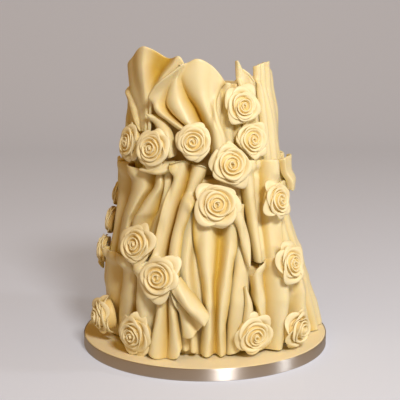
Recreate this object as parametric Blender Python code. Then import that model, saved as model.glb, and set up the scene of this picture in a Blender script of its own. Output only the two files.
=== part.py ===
"""Three-tier white chocolate wedding cake, wrapped in folded sheets of white modelling
chocolate with modelled roses, on its round iced board. The front of the cake faces -Y.

Angles are degrees round the cake: 0 is the front, positive towards +X, the right.
Heights and radii are millimetres, turned into metres where a mesh is made.
"""
import math

import bpy
import numpy as np
from mathutils import Matrix, Vector

MM = 0.001
GAP = 0.5  # clearance between pieces that touch

# The board: a 12 inch drum, iced, with a ribbon round its edge.
DRUM_RADIUS = 151.6
DRUM_HEIGHT = 11.7
ICING_HEIGHT = 15.0
RIBBON_RADIUS = 152.5
RIBBON_HEIGHT = 14.6

# The tiers: cakes of about 8, 7 and 5 inches, each 4 inches deep, covered smooth.
TIER_RADII = (106.0, 90.0, 68.0)
TIER_HEIGHT = 102.0
TIER_GAP = 0.3
TIER_EDGE = 4.0
ROUND_SIDES = 36
BOARD_SIDES = 56

# How far out the crests of the folds stand, by height, on the left and on the right.
SKIRT_HEIGHTS = (0, 40, 80, 117, 160, 200, 233, 260, 293, 320, 345, 370)
SKIRT_LEFT = (117, 122, 126, 122, 112, 105, 102, 99, 93, 92, 93, 90)
SKIRT_RIGHT = (117, 122, 126, 120, 108, 101, 96, 91, 86, 80, 78, 78)

# The sheets of chocolate.
SHEET = 1.6
CROWN_SHEET = 4.0
COLUMNS_PER_SPAN = 2  # columns of the face from one line of a sheet to the next
ROW_STEP = 24.0
KEPT_RELIEF = 0.25  # the share of a fold's depth that stays where the sheet is pushed out
PINCH = 0.2  # how far the side of a fold moves to its valley, as a share of the span
FULL_FOLD = 9.0  # folds this deep or deeper are pinched in full
LOWEST_HEM = 16.2

# The map of what has been laid so far: the outer radius, by angle and height.
MAP_TOP = 380.0
MAP_Z_STEP = 1.0
MAP_ANGLE_STEP = 0.5
MAP_SAMPLE = 0.6
SETTLE_ROUNDS = 5
SETTLE_SAMPLES = 12

# The roses.
ROSE_PETALS = 5
ROSE_GAP = 0.8


def curve_through(stops, share):
    """The point this share of the way down a smooth line through equally spaced stops."""
    stops = np.array(stops, float)
    if len(stops) == 1:
        return stops[0]
    padded = np.concatenate([[2 * stops[0] - stops[1]], stops, [2 * stops[-1] - stops[-2]]])
    place = share * (len(stops) - 1)
    index = min(int(place), len(stops) - 2)
    t = place - index
    before, start, end, after = padded[index:index + 4]
    return 0.5 * (2 * start + (end - before) * t + (2 * before - 5 * start + 4 * end - after) * t ** 2
                  + (3 * start - before - 3 * end + after) * t ** 3)


def folded(left, right, widths, depth, stand=(0,), tucked=(0, 0)):
    """The lines of a sheet of even folds between a left and a right edge. widths are the folds'
    shares of the sheet, depth how deep the valleys between them are, stand how far the sheet
    stands out from top to foot, and tucked how far its first and last folds go under others."""
    shares = np.cumsum((0,) + widths) / sum(widths)
    places = np.linspace(0, 1, 5)
    edges = [np.array([curve_through(edge, place) for place in places]) for edge in (left, right)]
    outs = np.interp(places, np.linspace(0, 1, len(stand)), stand)
    lines = []
    for fold in range(len(widths)):
        under = tucked[0] if fold == 0 else 0
        lines.append((outs - depth[fold] - under, edges[0] + (edges[1] - edges[0]) * shares[fold]))
        middle = (shares[fold] + shares[fold + 1]) / 2
        under = tucked[0] if fold == 0 else tucked[1] if fold == len(widths) - 1 else 0
        lines.append((outs - under, edges[0] + (edges[1] - edges[0]) * middle))
    lines.append((outs - depth[-1] - tucked[1], edges[1]))
    return lines


# Each drape is one sheet of chocolate, in the order in which they are laid on. Its lines run
# from top to foot, one along each edge, crest and valley, from left to right. A line has how
# far it stands out from the skirt, from top to foot, and then its points as (angle, height).
DRAPES = {
    "drape_crown_back_right": folded(
        ((85, 337), (85, 290), (85, 224)), ((176, 317), (176, 280), (178, 224)),
        (3, 4, 2, 5, 3, 4), (7, 9, 7, 9, 8, 8), (-2, -2, -10)),
    "drape_crown_back_left": folded(
        ((174, 318), (175, 280), (176, 223)), ((266, 340), (258, 290), (250, 223)),
        (4, 3, 5, 3, 3, 4), (9, 7, 9, 8, 7, 8), (-2, -2, -10)),
    "drape_left_shoulder": folded(
        ((-106, 316), (-110, 280), (-112, 222)), ((-70, 312), (-57, 282), (-47, 222)),
        (2, 3, 2, 3), (6, 8, 6, 7), (0, 2, 1, -8)),
    "drape_crown_left": (
        ((-2, -2, -3), ((-85.5, 339), (-85.5, 327), (-84, 315), (-72, 304), (-64, 292), (-54, 272))),
        ((5, 4, 2, 0), ((-62, 356), (-61.5, 339), (-60, 323), (-57, 309), (-54, 296), (-50, 272))),
        ((10, 8, 5, 2, 0), ((-46, 368), (-47, 354), (-47.5, 338), (-48, 322), (-48, 302), (-47, 272))),
        ((-9, -8, -3, 0, -2), ((-33, 355), (-38.5, 344), (-42.5, 332), (-44.5, 319), (-45.5, 301),
                               (-45, 272))),
        ((8, 8, 7, 4, 0), ((-19, 358), (-22.5, 348), (-30, 334), (-37.5, 319), (-42, 303),
                           (-43.5, 272))),
        ((5, 5, 4, 2, -1), ((-15, 350), (-19.5, 342), (-28, 332), (-36, 318), (-41, 303), (-42, 272)))),
    "drape_crown_gap": folded(
        ((8, 328), (6, 290), (4, 236)), ((31, 326), (32, 290), (34, 228)),
        (3, 4, 3), (5, 5, 5), (-3, -3, -6)),
    "drape_crown_right_leaf": (
        ((-3, -4, -8), ((26, 352), (27, 330), (29, 291), (30, 232))),
        ((1, 0, -4), ((28, 351), (32, 328), (35, 291), (37, 232))),
        ((-4, -5, -8), ((34, 343), (43, 328), (46, 290), (47, 232))),
        ((-3, -4, -7), ((40, 337), (52, 318), (57, 290), (58, 232)))),
    "drape_crown_right": (
        ((-4, -4, -5, -6), ((48, 345), (48, 318), (49, 278), (50, 226))),
        ((1, 0, 0, -2), ((52, 347), (52, 318), (53, 278), (54, 222))),
        ((-4, -4, -5, -6), ((58, 347), (57, 317), (58, 277), (59, 214))),
        ((0, 0, 0, -3), ((64, 348), (64, 317), (65, 277), (65, 208))),
        ((-4, -4, -5, -5), ((71, 348), (70, 316), (70, 275), (71, 206))),
        ((0, 0, 0, -3), ((80, 349), (78, 315), (78, 275), (80, 206))),
        ((-5, -5, -5, -5), ((90, 342), (90, 315), (90, 275), (90, 206)))),
    "drape_crown_tail": (
        ((-3, -1, -2), ((-43.5, 291), (-40.5, 284), (-36, 275), (-31.5, 265), (-28.5, 254),
                        (-26, 244))),
        ((0, 6, 5), ((-41.5, 292), (-36, 286), (-31, 278), (-27, 268), (-24.5, 257), (-22.5, 246))),
        ((-3, -1, -2), ((-39.5, 292), (-32.5, 288), (-27, 281), (-23, 271), (-21, 259), (-19.5, 248)))),
    "drape_crown_front": (
        ((2, 3, 4, 3, 2), ((-17.5, 347), (-25.5, 336), (-33.5, 324), (-38.5, 311), (-38.5, 302),
                           (-35, 293), (-27.5, 286), (-20, 278), (-12, 271), (-6, 262))),
        ((5, 7, 9, 8, 6), ((-15.5, 348), (-22.5, 336), (-29.5, 323), (-34, 311), (-34, 302),
                           (-30, 295), (-24, 288), (-17, 281), (-9.5, 272), (-4, 262))),
        ((5, 4, -2, -6, -7, -7, -6), ((-15, 349), (-21, 336), (-27, 323), (-30.5, 311), (-30.5, 302),
                                      (-27, 294), (-21, 287), (-14.5, 280), (-8, 272),
                                      (-2.5, 260))),
        ((5, 6, 7, 7, 6), ((-14, 349), (-19, 337), (-21.5, 324), (-22, 313), (-20, 304), (-17, 297),
                           (-13.5, 289), (-9, 281), (-4.5, 272), (0, 256))),
        ((4, -2, -8, -10, -11, -10), ((-13, 350), (-17.5, 336), (-16.5, 324), (-13, 312), (-9, 303),
                                      (-6, 295), (-3.5, 287), (-1.5, 280), (1, 270), (4, 250))),
        ((6, 7, 8, 8, 5), ((-5, 355), (-5.5, 342), (-5, 330), (-3.5, 320), (-1.5, 310), (0.5, 301),
                           (2.5, 293), (4.5, 282), (7, 270), (9, 250))),
        ((4, 5, 5, 3), ((5, 347), (4.5, 336), (3.5, 326), (3.5, 317), (3.5, 308), (5, 299), (6, 290),
                        (8, 280), (11, 268), (13, 250))),
        ((-3, -5, -6), ((16.5, 328), (13, 323), (10.5, 315), (8.5, 307), (8.5, 299), (9.5, 291),
                        (11, 283), (13, 275), (15, 264), (17, 247)))),
    "drape_long_back_right": folded(
        ((91, 234), (92, 120), (94, 17)), ((158, 236), (160, 120), (159, 17)),
        (3, 4, 3, 5, 3, 4), (8, 9, 8, 9, 8, 8), (-1, 0, 6), (7, 0)),
    "drape_long_back": folded(
        ((157, 238), (158, 120), (158, 17)), ((212, 234), (210, 120), (212, 17)),
        (4, 3, 5, 3, 4), (9, 8, 9, 8, 9), (0, 0, 3)),
    "drape_long_back_left": folded(
        ((211, 236), (209, 120), (211, 17)), ((263, 235), (264, 120), (265, 17)),
        (3, 4, 3, 4, 4), (8, 9, 8, 8, 8), (0, 0, 2)),
    "drape_long_right": (
        ((-9, -8, -8, -8, -8, -6), ((48, 205), (50, 150), (52, 110), (54, 75), (57, 45), (60, 17))),
        ((-3, -3, -2, 0, 2, 4), ((53, 206), (55, 150), (57, 110), (59, 75), (62, 45), (66, 17))),
        ((-8, -8, -7, -5, -1, 4), ((58, 206), (60, 150), (62, 110), (64, 75), (67, 45), (70, 17))),
        ((-3, -3, -2, 2, 9, 14), ((63, 207), (65, 150), (67, 110), (69, 75), (72, 45), (75, 17))),
        ((-8, -8, -7, -3, 7, 14), ((69, 207), (71, 150), (73, 110), (75, 75), (77, 45), (80, 17))),
        ((-3, -3, -1, 4, 15, 24), ((75, 208), (77, 150), (79, 110), (81, 75), (83, 45), (85, 17))),
        ((-8, -8, -6, 0, 12, 22), ((81, 208), (83, 150), (85, 110), (87, 75), (88, 45), (90, 17))),
        ((-3, -4, -2, 5, 18, 29), ((87, 208), (89, 150), (91, 110), (92, 75), (93, 45), (94, 17))),
        ((-7, -7, -5, 2, 14, 25), ((93, 207), (94, 150), (96, 110), (98, 75), (99, 45), (100, 17)))),
    "drape_middle_left": (
        ((-6, -6, -8), ((-98, 230), (-97, 206), (-96, 186), (-95, 167), (-94, 148), (-92, 118))),
        ((-1, -1, -1, -3), ((-93, 232), (-92, 206), (-92, 186), (-91, 167), (-91, 148), (-89, 118))),
        ((-8, -7, -8, -9), ((-86, 230), (-86, 206), (-87, 186), (-87, 167), (-87, 148), (-85, 118))),
        ((0, 0, 0, -3), ((-78, 231), (-78, 204), (-79, 186), (-80, 167), (-80, 148), (-79, 118))),
        ((-12, -12, -10, -8), ((-66, 231), (-65.5, 205), (-68, 187), (-71, 168), (-71.5, 149), (-70, 118))),
        ((6, 6, 5, -1), ((-45, 229), (-43, 210), (-45.5, 195), (-50, 179), (-54.5, 161), (-56, 118))),
        ((-8, -8, -7, -8), ((-36.5, 227), (-37.5, 210), (-44, 194), (-49, 177), (-53, 160), (-53, 118))),
        ((3, 6, 6, -2), ((-29.5, 227), (-29, 212), (-34, 198), (-39.5, 182), (-46, 164), (-48, 118))),
        ((-3, -8, -8, -9), ((-28.5, 227), (-28, 211), (-31, 196), (-33.5, 181), (-38, 164), (-42, 118))),
        ((0, 1, 0, -3), ((-26, 231), (-26, 213), (-27, 198), (-28, 184), (-30, 167), (-32, 118))),
        ((-9, -9, -9), ((-22, 236), (-23, 213), (-24, 197), (-25, 182), (-27, 166), (-28, 118)))),
    "drape_swag": (
        ((-6, -2, -6), ((-45, 236), (-37.5, 239), (-31, 240), (-26, 240), (-21.5, 241))),
        ((2, 8, 3), ((-43.5, 234), (-36, 236), (-30, 236), (-25, 237), (-20.5, 239))),
        ((2, 8, 3), ((-41.5, 231), (-35, 231), (-29.5, 230), (-25, 231), (-20.5, 235))),
        ((-6, -3, -6), ((-41.5, 228), (-36, 226), (-30.5, 225), (-26, 226), (-21, 231)))),
    "drape_middle_right": (
        ((-7, -8, -8, -8), ((24.5, 240), (26, 212), (28.5, 178), (31, 124))),
        ((4, 4, 3, 0), ((29.5, 241), (30, 210), (31.5, 179), (33, 124))),
        ((-7, -8, -8, -8), ((37.5, 239), (37.5, 207), (37.5, 177), (36.5, 123))),
        ((-7, -8, -8, -8), ((43.5, 238), (43, 205), (42, 175), (39.5, 122))),
        ((3, 4, 3, 0), ((50, 238), (48.5, 206), (46.5, 176), (43.5, 121))),
        ((-6, -6, -7, -9), ((60, 236), (57.5, 204), (55, 173), (51.5, 120)))),
    "drape_middle_tip": (
        ((-3, -5), ((66, 234), (73, 198))),
        ((5, 0), ((69, 236), (75, 196))),
        ((8, 0), ((84, 237), (83, 198))),
        ((3, -5), ((92, 235), (89, 198)))),
    "drape_low_left": (
        ((-6, -6, -6), ((-97, 120), (-96, 80), (-96, 17))),
        ((0, 0, 0), ((-91, 121), (-90, 98), (-90, 73), (-91, 45), (-92, 17))),
        ((-7, -7, -6), ((-84, 122), (-83, 98), (-84, 73), (-86, 45), (-88, 17))),
        ((1, 1, 0), ((-74, 124), (-73, 98), (-74, 73), (-77, 45), (-80, 17))),
        ((-7, -7, -6), ((-59, 127), (-57, 101), (-58, 78), (-63, 50), (-68, 17))),
        ((4, 4, 1), ((-45, 129), (-43.5, 106), (-44, 86), (-48, 55), (-52, 18))),
        ((-8, -8, -7), ((-40.5, 125), (-39, 101), (-40, 82), (-43.5, 53), (-47, 17))),
        ((2, 2, 0), ((-33.5, 123), (-33, 102), (-33.5, 82), (-36, 53), (-40, 17))),
        ((-9, -9, -8), ((-31, 122), (-30.5, 91), (-31, 73), (-33, 48), (-36, 17)))),
    "drape_low_left_strip": (
        ((-9, -9, -9), ((-40, 128), (-38, 80), (-39, 17))),
        ((-2, -2, -4), ((-32, 128), (-31, 80), (-33, 17))),
        ((-8, -8, -9), ((-25, 126), (-24, 80), (-26, 17)))),
    "drape_low_right_folds": (
        ((-7, -7, -7), ((41, 112), (41, 80), (40, 50), (39, 17))),
        ((1, 1, 0), ((48, 112), (48, 80), (47, 50), (46, 17))),
        ((-5, -5, -4), ((55, 112), (55, 80), (54, 50), (53, 17))),
        ((1, 2, 3), ((60, 112), (61, 80), (60, 50), (60, 17))),
        ((-6, -5, -2), ((66, 112), (67, 80), (67, 50), (67, 17)))),
    "drape_centre_strip": (
        ((-7, -7), ((-15, 198), (-16, 178), (-18, 152), (-18, 130), (-16, 108), (-12, 84))),
        ((3, 3), ((-6, 198), (-7, 178), (-9, 152), (-10, 130), (-9, 106), (-6, 82))),
        ((-8, -8), ((-3, 197), (-4, 178), (-5, 152), (-6, 130), (-5, 106), (-3, 80))),
        ((-9, -9), ((2, 197), (2, 178), (1, 152), (1, 130), (2, 106), (3, 80)))),
    "drape_centre_panel": (
        ((-8, -8), ((18, 190), (18, 130), (14, 85), (12, 18))),
        ((-3, -2, 0), ((22, 190), (22, 130), (19, 85), (17, 20))),
        ((-7, -7), ((27, 190), (27, 130), (25, 80), (22, 24)))),
    "drape_centre": (
        ((-7, -8, -8), ((-7, 192), (-7, 168), (-6, 146), (-4, 127), (-2, 104), (-1, 78), (-2, 50),
                        (-3, 20))),
        ((5, 6, 5, 2), ((1, 193), (1, 168), (1, 147), (1, 128), (2, 104), (2, 78), (2, 50), (1, 18))),
        ((-9, -9, -9), ((10, 191), (10, 166), (9, 144), (8, 126), (6, 102), (6, 76), (6, 49), (6, 19))),
        ((5, 6, 5, 2), ((15, 192), (15, 167), (14, 147), (12, 128), (10, 104), (8, 77), (8, 48),
                        (9, 18))),
        ((-8, -8, -8), ((20, 190), (20, 165), (19, 142), (17, 126), (15, 104), (13, 78), (12, 50),
                        (12, 20)))),
    "drape_middle_front": (
        ((-5, -5), ((-20, 240), (-22, 215), (-25, 195), (-27, 178), (-29, 155), (-29, 118))),
        ((6, 6), ((-13, 242), (-18, 215), (-21, 193), (-23, 170), (-25, 147), (-25, 118))),
        ((-9, -9), ((-10, 238), (-13, 213), (-17, 191), (-20, 168), (-22, 145), (-23, 118))),
        ((6, 6), ((-3, 237), (-8, 215), (-11, 199), (-14, 181), (-17, 159), (-18, 116))),
        ((-6, -6), ((2, 232), (-3, 212), (-6, 195), (-9, 178), (-12, 158), (-13, 112)))),
    "drape_middle_leaf": (
        ((-2, -2), ((9, 198), (13, 184), (17, 171), (19, 157), (21, 142), (23, 124))),
        ((5, 4), ((14, 199), (18, 185), (21, 172), (23, 157), (24, 142), (24, 123))),
        ((-4, -4), ((19, 198), (22, 184), (25, 171), (27, 156), (27, 141), (25, 124)))),
    "drape_fan_tail": (
        ((-6, -5), ((-16, 66), (-14, 26))),
        ((-2, 0), ((-13, 66), (-11, 24))),
        ((-7, -6), ((-10, 66), (-9, 24))),
        ((-2, 0), ((-7, 66), (-7, 22))),
        ((-6, -5), ((-5, 66), (-4, 22)))),
    "drape_fan": (
        ((-3, -2, 0, 4), ((-26, 100), (-25, 86), (-26, 68), (-28, 46), (-31, 23))),
        ((5, 8, 12, 17), ((-23, 102), (-22, 86), (-23, 68), (-25, 44), (-26, 17.5))),
        ((-5, -5, -1, 8), ((-21, 101), (-20, 86), (-20, 68), (-20, 42), (-20.5, 16.8))),
        ((5, 8, 12, 15), ((-18, 102), (-17, 87), (-16, 69), (-15, 46), (-14, 20))),
        ((-3, -2, 1, 5), ((-17, 101), (-15, 85), (-14, 66), (-13, 47), (-12, 29)))),
    "drape_fan_flare": (
        ((-3, -2, 2), ((-18, 102), (-15, 86), (-13, 68), (-12, 44))),
        ((5, 8, 12), ((-16, 104), (-14, 88), (-11, 72), (-7, 45))),
        ((1, 2, 5), ((-14, 103), (-11, 86), (-8, 71), (-4, 52))),
        ((4, 7, 10), ((-12, 104), (-8, 88), (-4, 75), (-1, 62)))),
    "drape_fan_end": (
        ((-2, 0, 3), ((-15, 98), (-12, 86), (-8, 75), (-4, 65), (-1, 60))),
        ((6, 9, 12), ((-14, 108), (-10, 98), (-6, 87), (-2, 76), (1, 67))),
        ((-3, -1, 3), ((-12, 114), (-9, 105), (-5, 94), (-1, 83), (2, 74)))),
    "drape_low_right_chip": (
        ((-3, -4), ((21, 100), (21, 80), (20, 58))),
        ((1, 3), ((21.5, 100), (23, 80), (24, 57))),
        ((-3, -4), ((22, 100), (26, 80), (29, 56)))),
    "drape_low_right": (
        ((-8, -8, -8, -8), ((25, 111), (26, 98), (27, 82), (29, 58), (30, 22))),
        ((5, 5, 4, 2), ((28, 121), (28.5, 101), (29.5, 82), (31, 58), (32, 20))),
        ((-5, -6, -5, -3), ((35, 127), (35, 101), (35.5, 80), (36.5, 54), (38, 19))),
        ((5, 5, 4, 2), ((41, 129), (40.5, 102), (40.5, 80), (41, 54), (42, 18))),
        ((-6, -6, -6, -6), ((44, 124), (47, 102), (47, 80), (47, 52), (46, 18)))),
}

# The roses: angle round the cake, height of the centre, diameter, how many degrees the rose
# is turned about its own axis, and how far it stands out.
ROSES = (
    (27.5, 301, 48, 10, 15), (33, 263, 45, 50, 14), (16, 237, 53, 25, 17), (6.5, 193, 54, 0, 17),
    (-7, 262, 43, 40, 14), (-33, 253, 46, 15, 15), (-59, 256, 43, 60, 13), (-37.5, 142, 49, 30, 16),
    (-22, 111, 50, 5, 16), (-37, 42, 50, 20, 19), (-68, 47, 46, 45, 26), (26, 43, 49, 55, 17),
    (51, 43, 45, 10, 24), (46, 118, 47, 35, 16), (46, 191, 44, 65, 16), (-100, 149, 42, 20, 13),
    (-104, 183, 38, 50, 11), (-97, 113, 43, 0, 14),
    (118, 44, 46, 30, 15), (152, 128, 44, 0, 14), (181, 236, 46, 40, 15), (214, 44, 46, 15, 15),
    (236, 132, 42, 60, 14),
)


def clear_scene():
    for thing in list(bpy.data.objects):
        bpy.data.objects.remove(thing, do_unlink=True)


def material(name, colour, roughness, metallic=0.0):
    made = bpy.data.materials.new(name)
    made.use_nodes = True
    shader = made.node_tree.nodes["Principled BSDF"]
    shader.inputs["Base Color"].default_value = (*colour, 1.0)
    shader.inputs["Roughness"].default_value = roughness
    shader.inputs["Metallic"].default_value = metallic
    return made


def add_object(name, points, faces, finish, place=None):
    """A named mesh object from points in millimetres, smooth but for its hard corners."""
    mesh = bpy.data.meshes.new(name)
    mesh.from_pydata([tuple(MM * float(c) for c in p) for p in points], [], faces)
    mesh.materials.append(finish)
    mesh.shade_smooth()
    mesh.set_sharp_from_angle(angle=math.radians(50))
    thing = bpy.data.objects.new(name, mesh)
    bpy.context.scene.collection.objects.link(thing)
    if place is not None:
        thing.matrix_world = place
    return thing


def turned(name, outline, finish, sides=ROUND_SIDES):
    """A solid turned about the Z axis from an outline of (radius, height), closed at the axis."""
    points = []
    for radius, height in outline:
        for side in range(sides):
            angle = 2 * math.pi * side / sides
            points.append((radius * math.cos(angle), radius * math.sin(angle), height))
    faces = [tuple(reversed(range(sides)))]
    for ring in range(len(outline) - 1):
        low, high = ring * sides, (ring + 1) * sides
        for side in range(sides):
            after = (side + 1) % sides
            faces.append((low + side, low + after, high + after, high + side))
    faces.append(tuple(range(high, high + sides)))
    return add_object(name, points, faces, finish)


def ribbon_band(finish, sides=BOARD_SIDES):
    """The ribbon: a thin closed band that stands just off the board's edge."""
    inner = DRUM_RADIUS + 0.35
    outline = ((RIBBON_RADIUS, 0.2), (RIBBON_RADIUS, RIBBON_HEIGHT), (inner, RIBBON_HEIGHT), (inner, 0.2))
    points = []
    for radius, height in outline:
        for side in range(sides):
            angle = 2 * math.pi * side / sides
            points.append((radius * math.cos(angle), radius * math.sin(angle), height))
    faces = []
    for ring in range(4):
        low, high = ring * sides, (ring + 1) % 4 * sides
        for side in range(sides):
            after = (side + 1) % sides
            faces.append((low + side, low + after, high + after, high + side))
    return add_object("ribbon", points, faces, finish)


def tier_base(index):
    return ICING_HEIGHT + TIER_GAP + index * (TIER_HEIGHT + TIER_GAP)


def skirt_radius(angle, height):
    """How far out a fold's crest stands at this angle and height."""
    left = np.interp(height, SKIRT_HEIGHTS, SKIRT_LEFT)
    right = np.interp(height, SKIRT_HEIGHTS, SKIRT_RIGHT)
    return 0.5 * (left + right) + 0.5 * (right - left) * np.sin(np.radians(angle))


class LaidSurface:
    """The outermost radius of what has been laid, on a fine grid of angle by height."""

    def __init__(self):
        self.columns = int(360 / MAP_ANGLE_STEP)
        self.rows = int(MAP_TOP / MAP_Z_STEP)
        self.radius = np.zeros((self.columns, self.rows))
        for index, radius in enumerate(TIER_RADII):
            low = int(tier_base(index) / MAP_Z_STEP)
            high = int((tier_base(index) + TIER_HEIGHT) / MAP_Z_STEP) + 2
            self.radius[:, low:high] = np.maximum(self.radius[:, low:high], radius)

    def cell_of(self, points):
        angle = np.degrees(np.arctan2(points[..., 0], -points[..., 1]))
        column = np.round(angle / MAP_ANGLE_STEP).astype(int) % self.columns
        row = np.clip((points[..., 2] / MAP_Z_STEP).astype(int), 0, self.rows - 1)
        return column, row

    def lay(self, corners):
        """Raises the map to triangles, given as an array of (triangle, corner, xyz)."""
        for corner in corners:
            longest = max(np.linalg.norm(corner[i] - corner[i - 1]) for i in range(3))
            points = triangle_samples(corner[None], int(longest / MAP_SAMPLE) + 2)[0][0]
            np.maximum.at(self.radius, self.cell_of(points), np.hypot(points[:, 0], points[:, 1]))

    def widened(self):
        """The map with each cell raised to its highest neighbour."""
        wide = self.radius.copy()
        for shift in (-1, 1):
            wide = np.maximum(wide, np.roll(self.radius, shift, 0))
        tall = wide.copy()
        tall[:, 1:] = np.maximum(tall[:, 1:], wide[:, :-1])
        tall[:, :-1] = np.maximum(tall[:, :-1], wide[:, 1:])
        return tall


def triangle_samples(corners, steps):
    """Points spread over each triangle, and each point's weights on the three corners."""
    a, b = np.meshgrid(np.linspace(0, 1, steps), np.linspace(0, 1, steps))
    inside = a + b <= 1.0001
    weights = np.stack([1 - a[inside] - b[inside], a[inside], b[inside]], axis=-1)
    return weights @ corners, weights


def sheet_length(lines):
    """The length of a sheet, measured over its lines."""
    longest = 0
    for _, path in lines:
        angle, height = np.array([curve_through(path, share) for share in np.linspace(0, 1, 7)]).T
        points = round_point(angle, height, skirt_radius(angle, height))
        longest = max(longest, np.linalg.norm(np.diff(points, axis=0), axis=1).sum())
    return longest


def sheet_grid(lines):
    """Angle, height, wanted outer radius and fold relief of a sheet, as grids of (column, row)."""
    rows = max(3, int(round(sheet_length(lines) / ROW_STEP)) + 1)
    spans = len(lines) - 1
    columns = spans * COLUMNS_PER_SPAN + 1
    angle, height, offset = (np.zeros((columns, rows)) for _ in range(3))
    for row in range(rows):
        down = row / (rows - 1)
        stops = np.array([curve_through(path, down) for _, path in lines])
        outs = [np.interp(down, np.linspace(0, 1, len(out)), out) for out, _ in lines]
        for column in range(columns):
            span = min(column // COLUMNS_PER_SPAN, spans - 1)
            turn = column / COLUMNS_PER_SPAN - span
            rise = outs[span + 1] - outs[span]
            pinch = PINCH * np.clip(rise / FULL_FOLD, -1, 1) * math.sin(math.pi * turn)
            place = (span + turn - pinch) / spans
            angle[column, row], height[column, row] = curve_through(stops, place)
            eased = math.sin(math.pi / 2 * turn) if span == 0 else turn
            eased = 1 - math.cos(math.pi / 2 * turn) if span == spans - 1 else eased
            offset[column, row] = outs[span] + rise * eased
    height = np.maximum(height, LOWEST_HEM)
    return angle, height, skirt_radius(angle, height) + offset, offset - offset.min(axis=0)


def round_point(angle, height, radius):
    turn = np.radians(angle)
    return np.stack([radius * np.sin(turn), -radius * np.cos(turn), height], axis=-1)


def strip_faces(grid, flip):
    """Triangles over a grid of point numbers."""
    faces = []
    for i in range(grid.shape[0] - 1):
        for j in range(grid.shape[1] - 1):
            a, b, c, d = (int(grid[i, j]), int(grid[i, j + 1]), int(grid[i + 1, j + 1]), int(grid[i + 1, j]))
            faces += [(a, c, b), (a, d, c)] if flip else [(a, b, c), (a, c, d)]
    return faces


def edge_faces(front, back):
    """Triangles between the front and back rows of one edge, where the back has fewer points."""
    faces, f, b = [], 0, 0
    last_front, last_back = len(front) - 1, len(back) - 1
    while f < last_front or b < last_back:
        if b == last_back or (f < last_front and (f + 1) * last_back <= (b + 1) * last_front):
            faces.append((int(front[f]), int(front[f + 1]), int(back[b])))
            f += 1
        else:
            faces.append((int(front[f]), int(back[b + 1]), int(back[b])))
            b += 1
    return faces


def settle(angle, height, radius, faces, surface):
    """Moves points outwards until their triangles clear everything that has been laid: first
    past whatever lies nearest to each point, and then by what the triangles still lack."""
    support = surface.widened() + GAP
    corners = np.array(faces)
    settled = radius.reshape(-1).copy()
    for turn in range(SETTLE_ROUNDS):
        points = round_point(angle.reshape(-1), height.reshape(-1), settled)
        samples, weights = triangle_samples(points[corners], SETTLE_SAMPLES)
        needed = support[surface.cell_of(samples)]
        if turn == 0:
            nearest = weights >= weights.max(axis=1, keepdims=True)
            raised = np.where(nearest, needed[..., None], 0).max(axis=1)
            np.maximum.at(settled, corners, raised)
            continue
        short = np.maximum(needed - np.hypot(samples[..., 0], samples[..., 1]), 0)
        share = weights / (weights ** 2).sum(axis=1, keepdims=True)
        lift = np.zeros_like(settled)
        np.maximum.at(lift, corners, (short[..., None] * share).max(axis=1))
        settled = settled + lift
    return settled.reshape(radius.shape)


def hang_drape(name, lines, surface, finish):
    """A drape as a closed solid that fills the room between its face and what lies under it.
    Its back has one column for each line, and its face has more, because only the face is folded."""
    angle, height, wanted, relief = sheet_grid(lines)
    columns, rows = angle.shape
    some = slice(0, columns, COLUMNS_PER_SPAN)
    crown_top = tier_base(len(TIER_RADII)) - TIER_GAP
    lowest = np.where(height > crown_top + 2, wanted - CROWN_SHEET, TIER_RADII[-1])
    rear_grid = np.arange(angle[some].size).reshape(-1, rows)
    back = settle(angle[some], height[some], lowest[some], strip_faces(rear_grid, True), surface)
    nearest = np.arange(columns) / COLUMNS_PER_SPAN
    under = np.maximum(back[np.floor(nearest).astype(int)], back[np.ceil(nearest).astype(int)])
    face = np.maximum(wanted, under + SHEET + KEPT_RELIEF * relief)
    front_points = round_point(angle, height, face)
    back_points = round_point(angle[some], height[some], back)
    front = np.arange(columns * rows).reshape(columns, rows)
    rear = front.size + rear_grid
    points = np.concatenate([front_points.reshape(-1, 3), back_points.reshape(-1, 3)])
    faces = strip_faces(front, False) + strip_faces(rear, True)
    faces += edge_faces(front[:, 0], rear[:, 0]) + edge_faces(front[:, -1][::-1], rear[:, -1][::-1])
    faces += edge_faces(front[0][::-1], rear[0][::-1]) + edge_faces(front[-1], rear[-1])
    if np.linalg.det(points[np.array(faces)]).sum() < 0:
        faces = [corners[::-1] for corners in faces]
    surface.lay(points[np.array(strip_faces(front, False))])
    return add_object(name, points, faces, finish)


def rose_frame(angle, height):
    """The rose's own axes: across, up the cake, and out of it."""
    turn = math.radians(angle)
    slope = (skirt_radius(angle, height - 20) - skirt_radius(angle, height + 20)) / 40
    tilt = math.atan(slope)
    out = Vector((math.sin(turn) * math.cos(tilt), -math.cos(turn) * math.cos(tilt), math.sin(tilt)))
    across = Vector((math.cos(turn), math.sin(turn), 0))
    return across, out.cross(across), out


def rose_seat(surface, angle, height, size):
    """Where the back of a rose sits, so that its flat back clears all that lies under it."""
    across, up, out = rose_frame(angle, height)
    anchor = Vector(round_point(angle, height, skirt_radius(angle, height)))
    column, row = np.meshgrid(np.arange(surface.columns), np.arange(surface.rows), indexing="ij")
    laid = round_point(column * MAP_ANGLE_STEP, (row + 0.5) * MAP_Z_STEP, surface.widened())
    under = laid - np.array(anchor)
    near = np.hypot(under @ np.array(across), under @ np.array(up)) < size / 2 + 2 * MAP_Z_STEP
    near &= under @ np.array(out) > -size
    lift = (under[near] @ np.array(out)).max() + ROSE_GAP
    return anchor + out * lift


def rose_reach(seats, index, direction):
    """How far the rose may spread in a direction before it meets its neighbour."""
    seat, size = seats[index]
    reach = size / 2
    for other, (place, other_size) in enumerate(seats):
        away = place - seat
        if other == index or away.length > (size + other_size) / 2 + 4:
            continue
        facing = direction.dot(away.normalized())
        if facing > 0.05:
            share = size / (size + other_size)
            reach = min(reach, (away.length * share - ROSE_GAP) / facing)
    return reach


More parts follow.
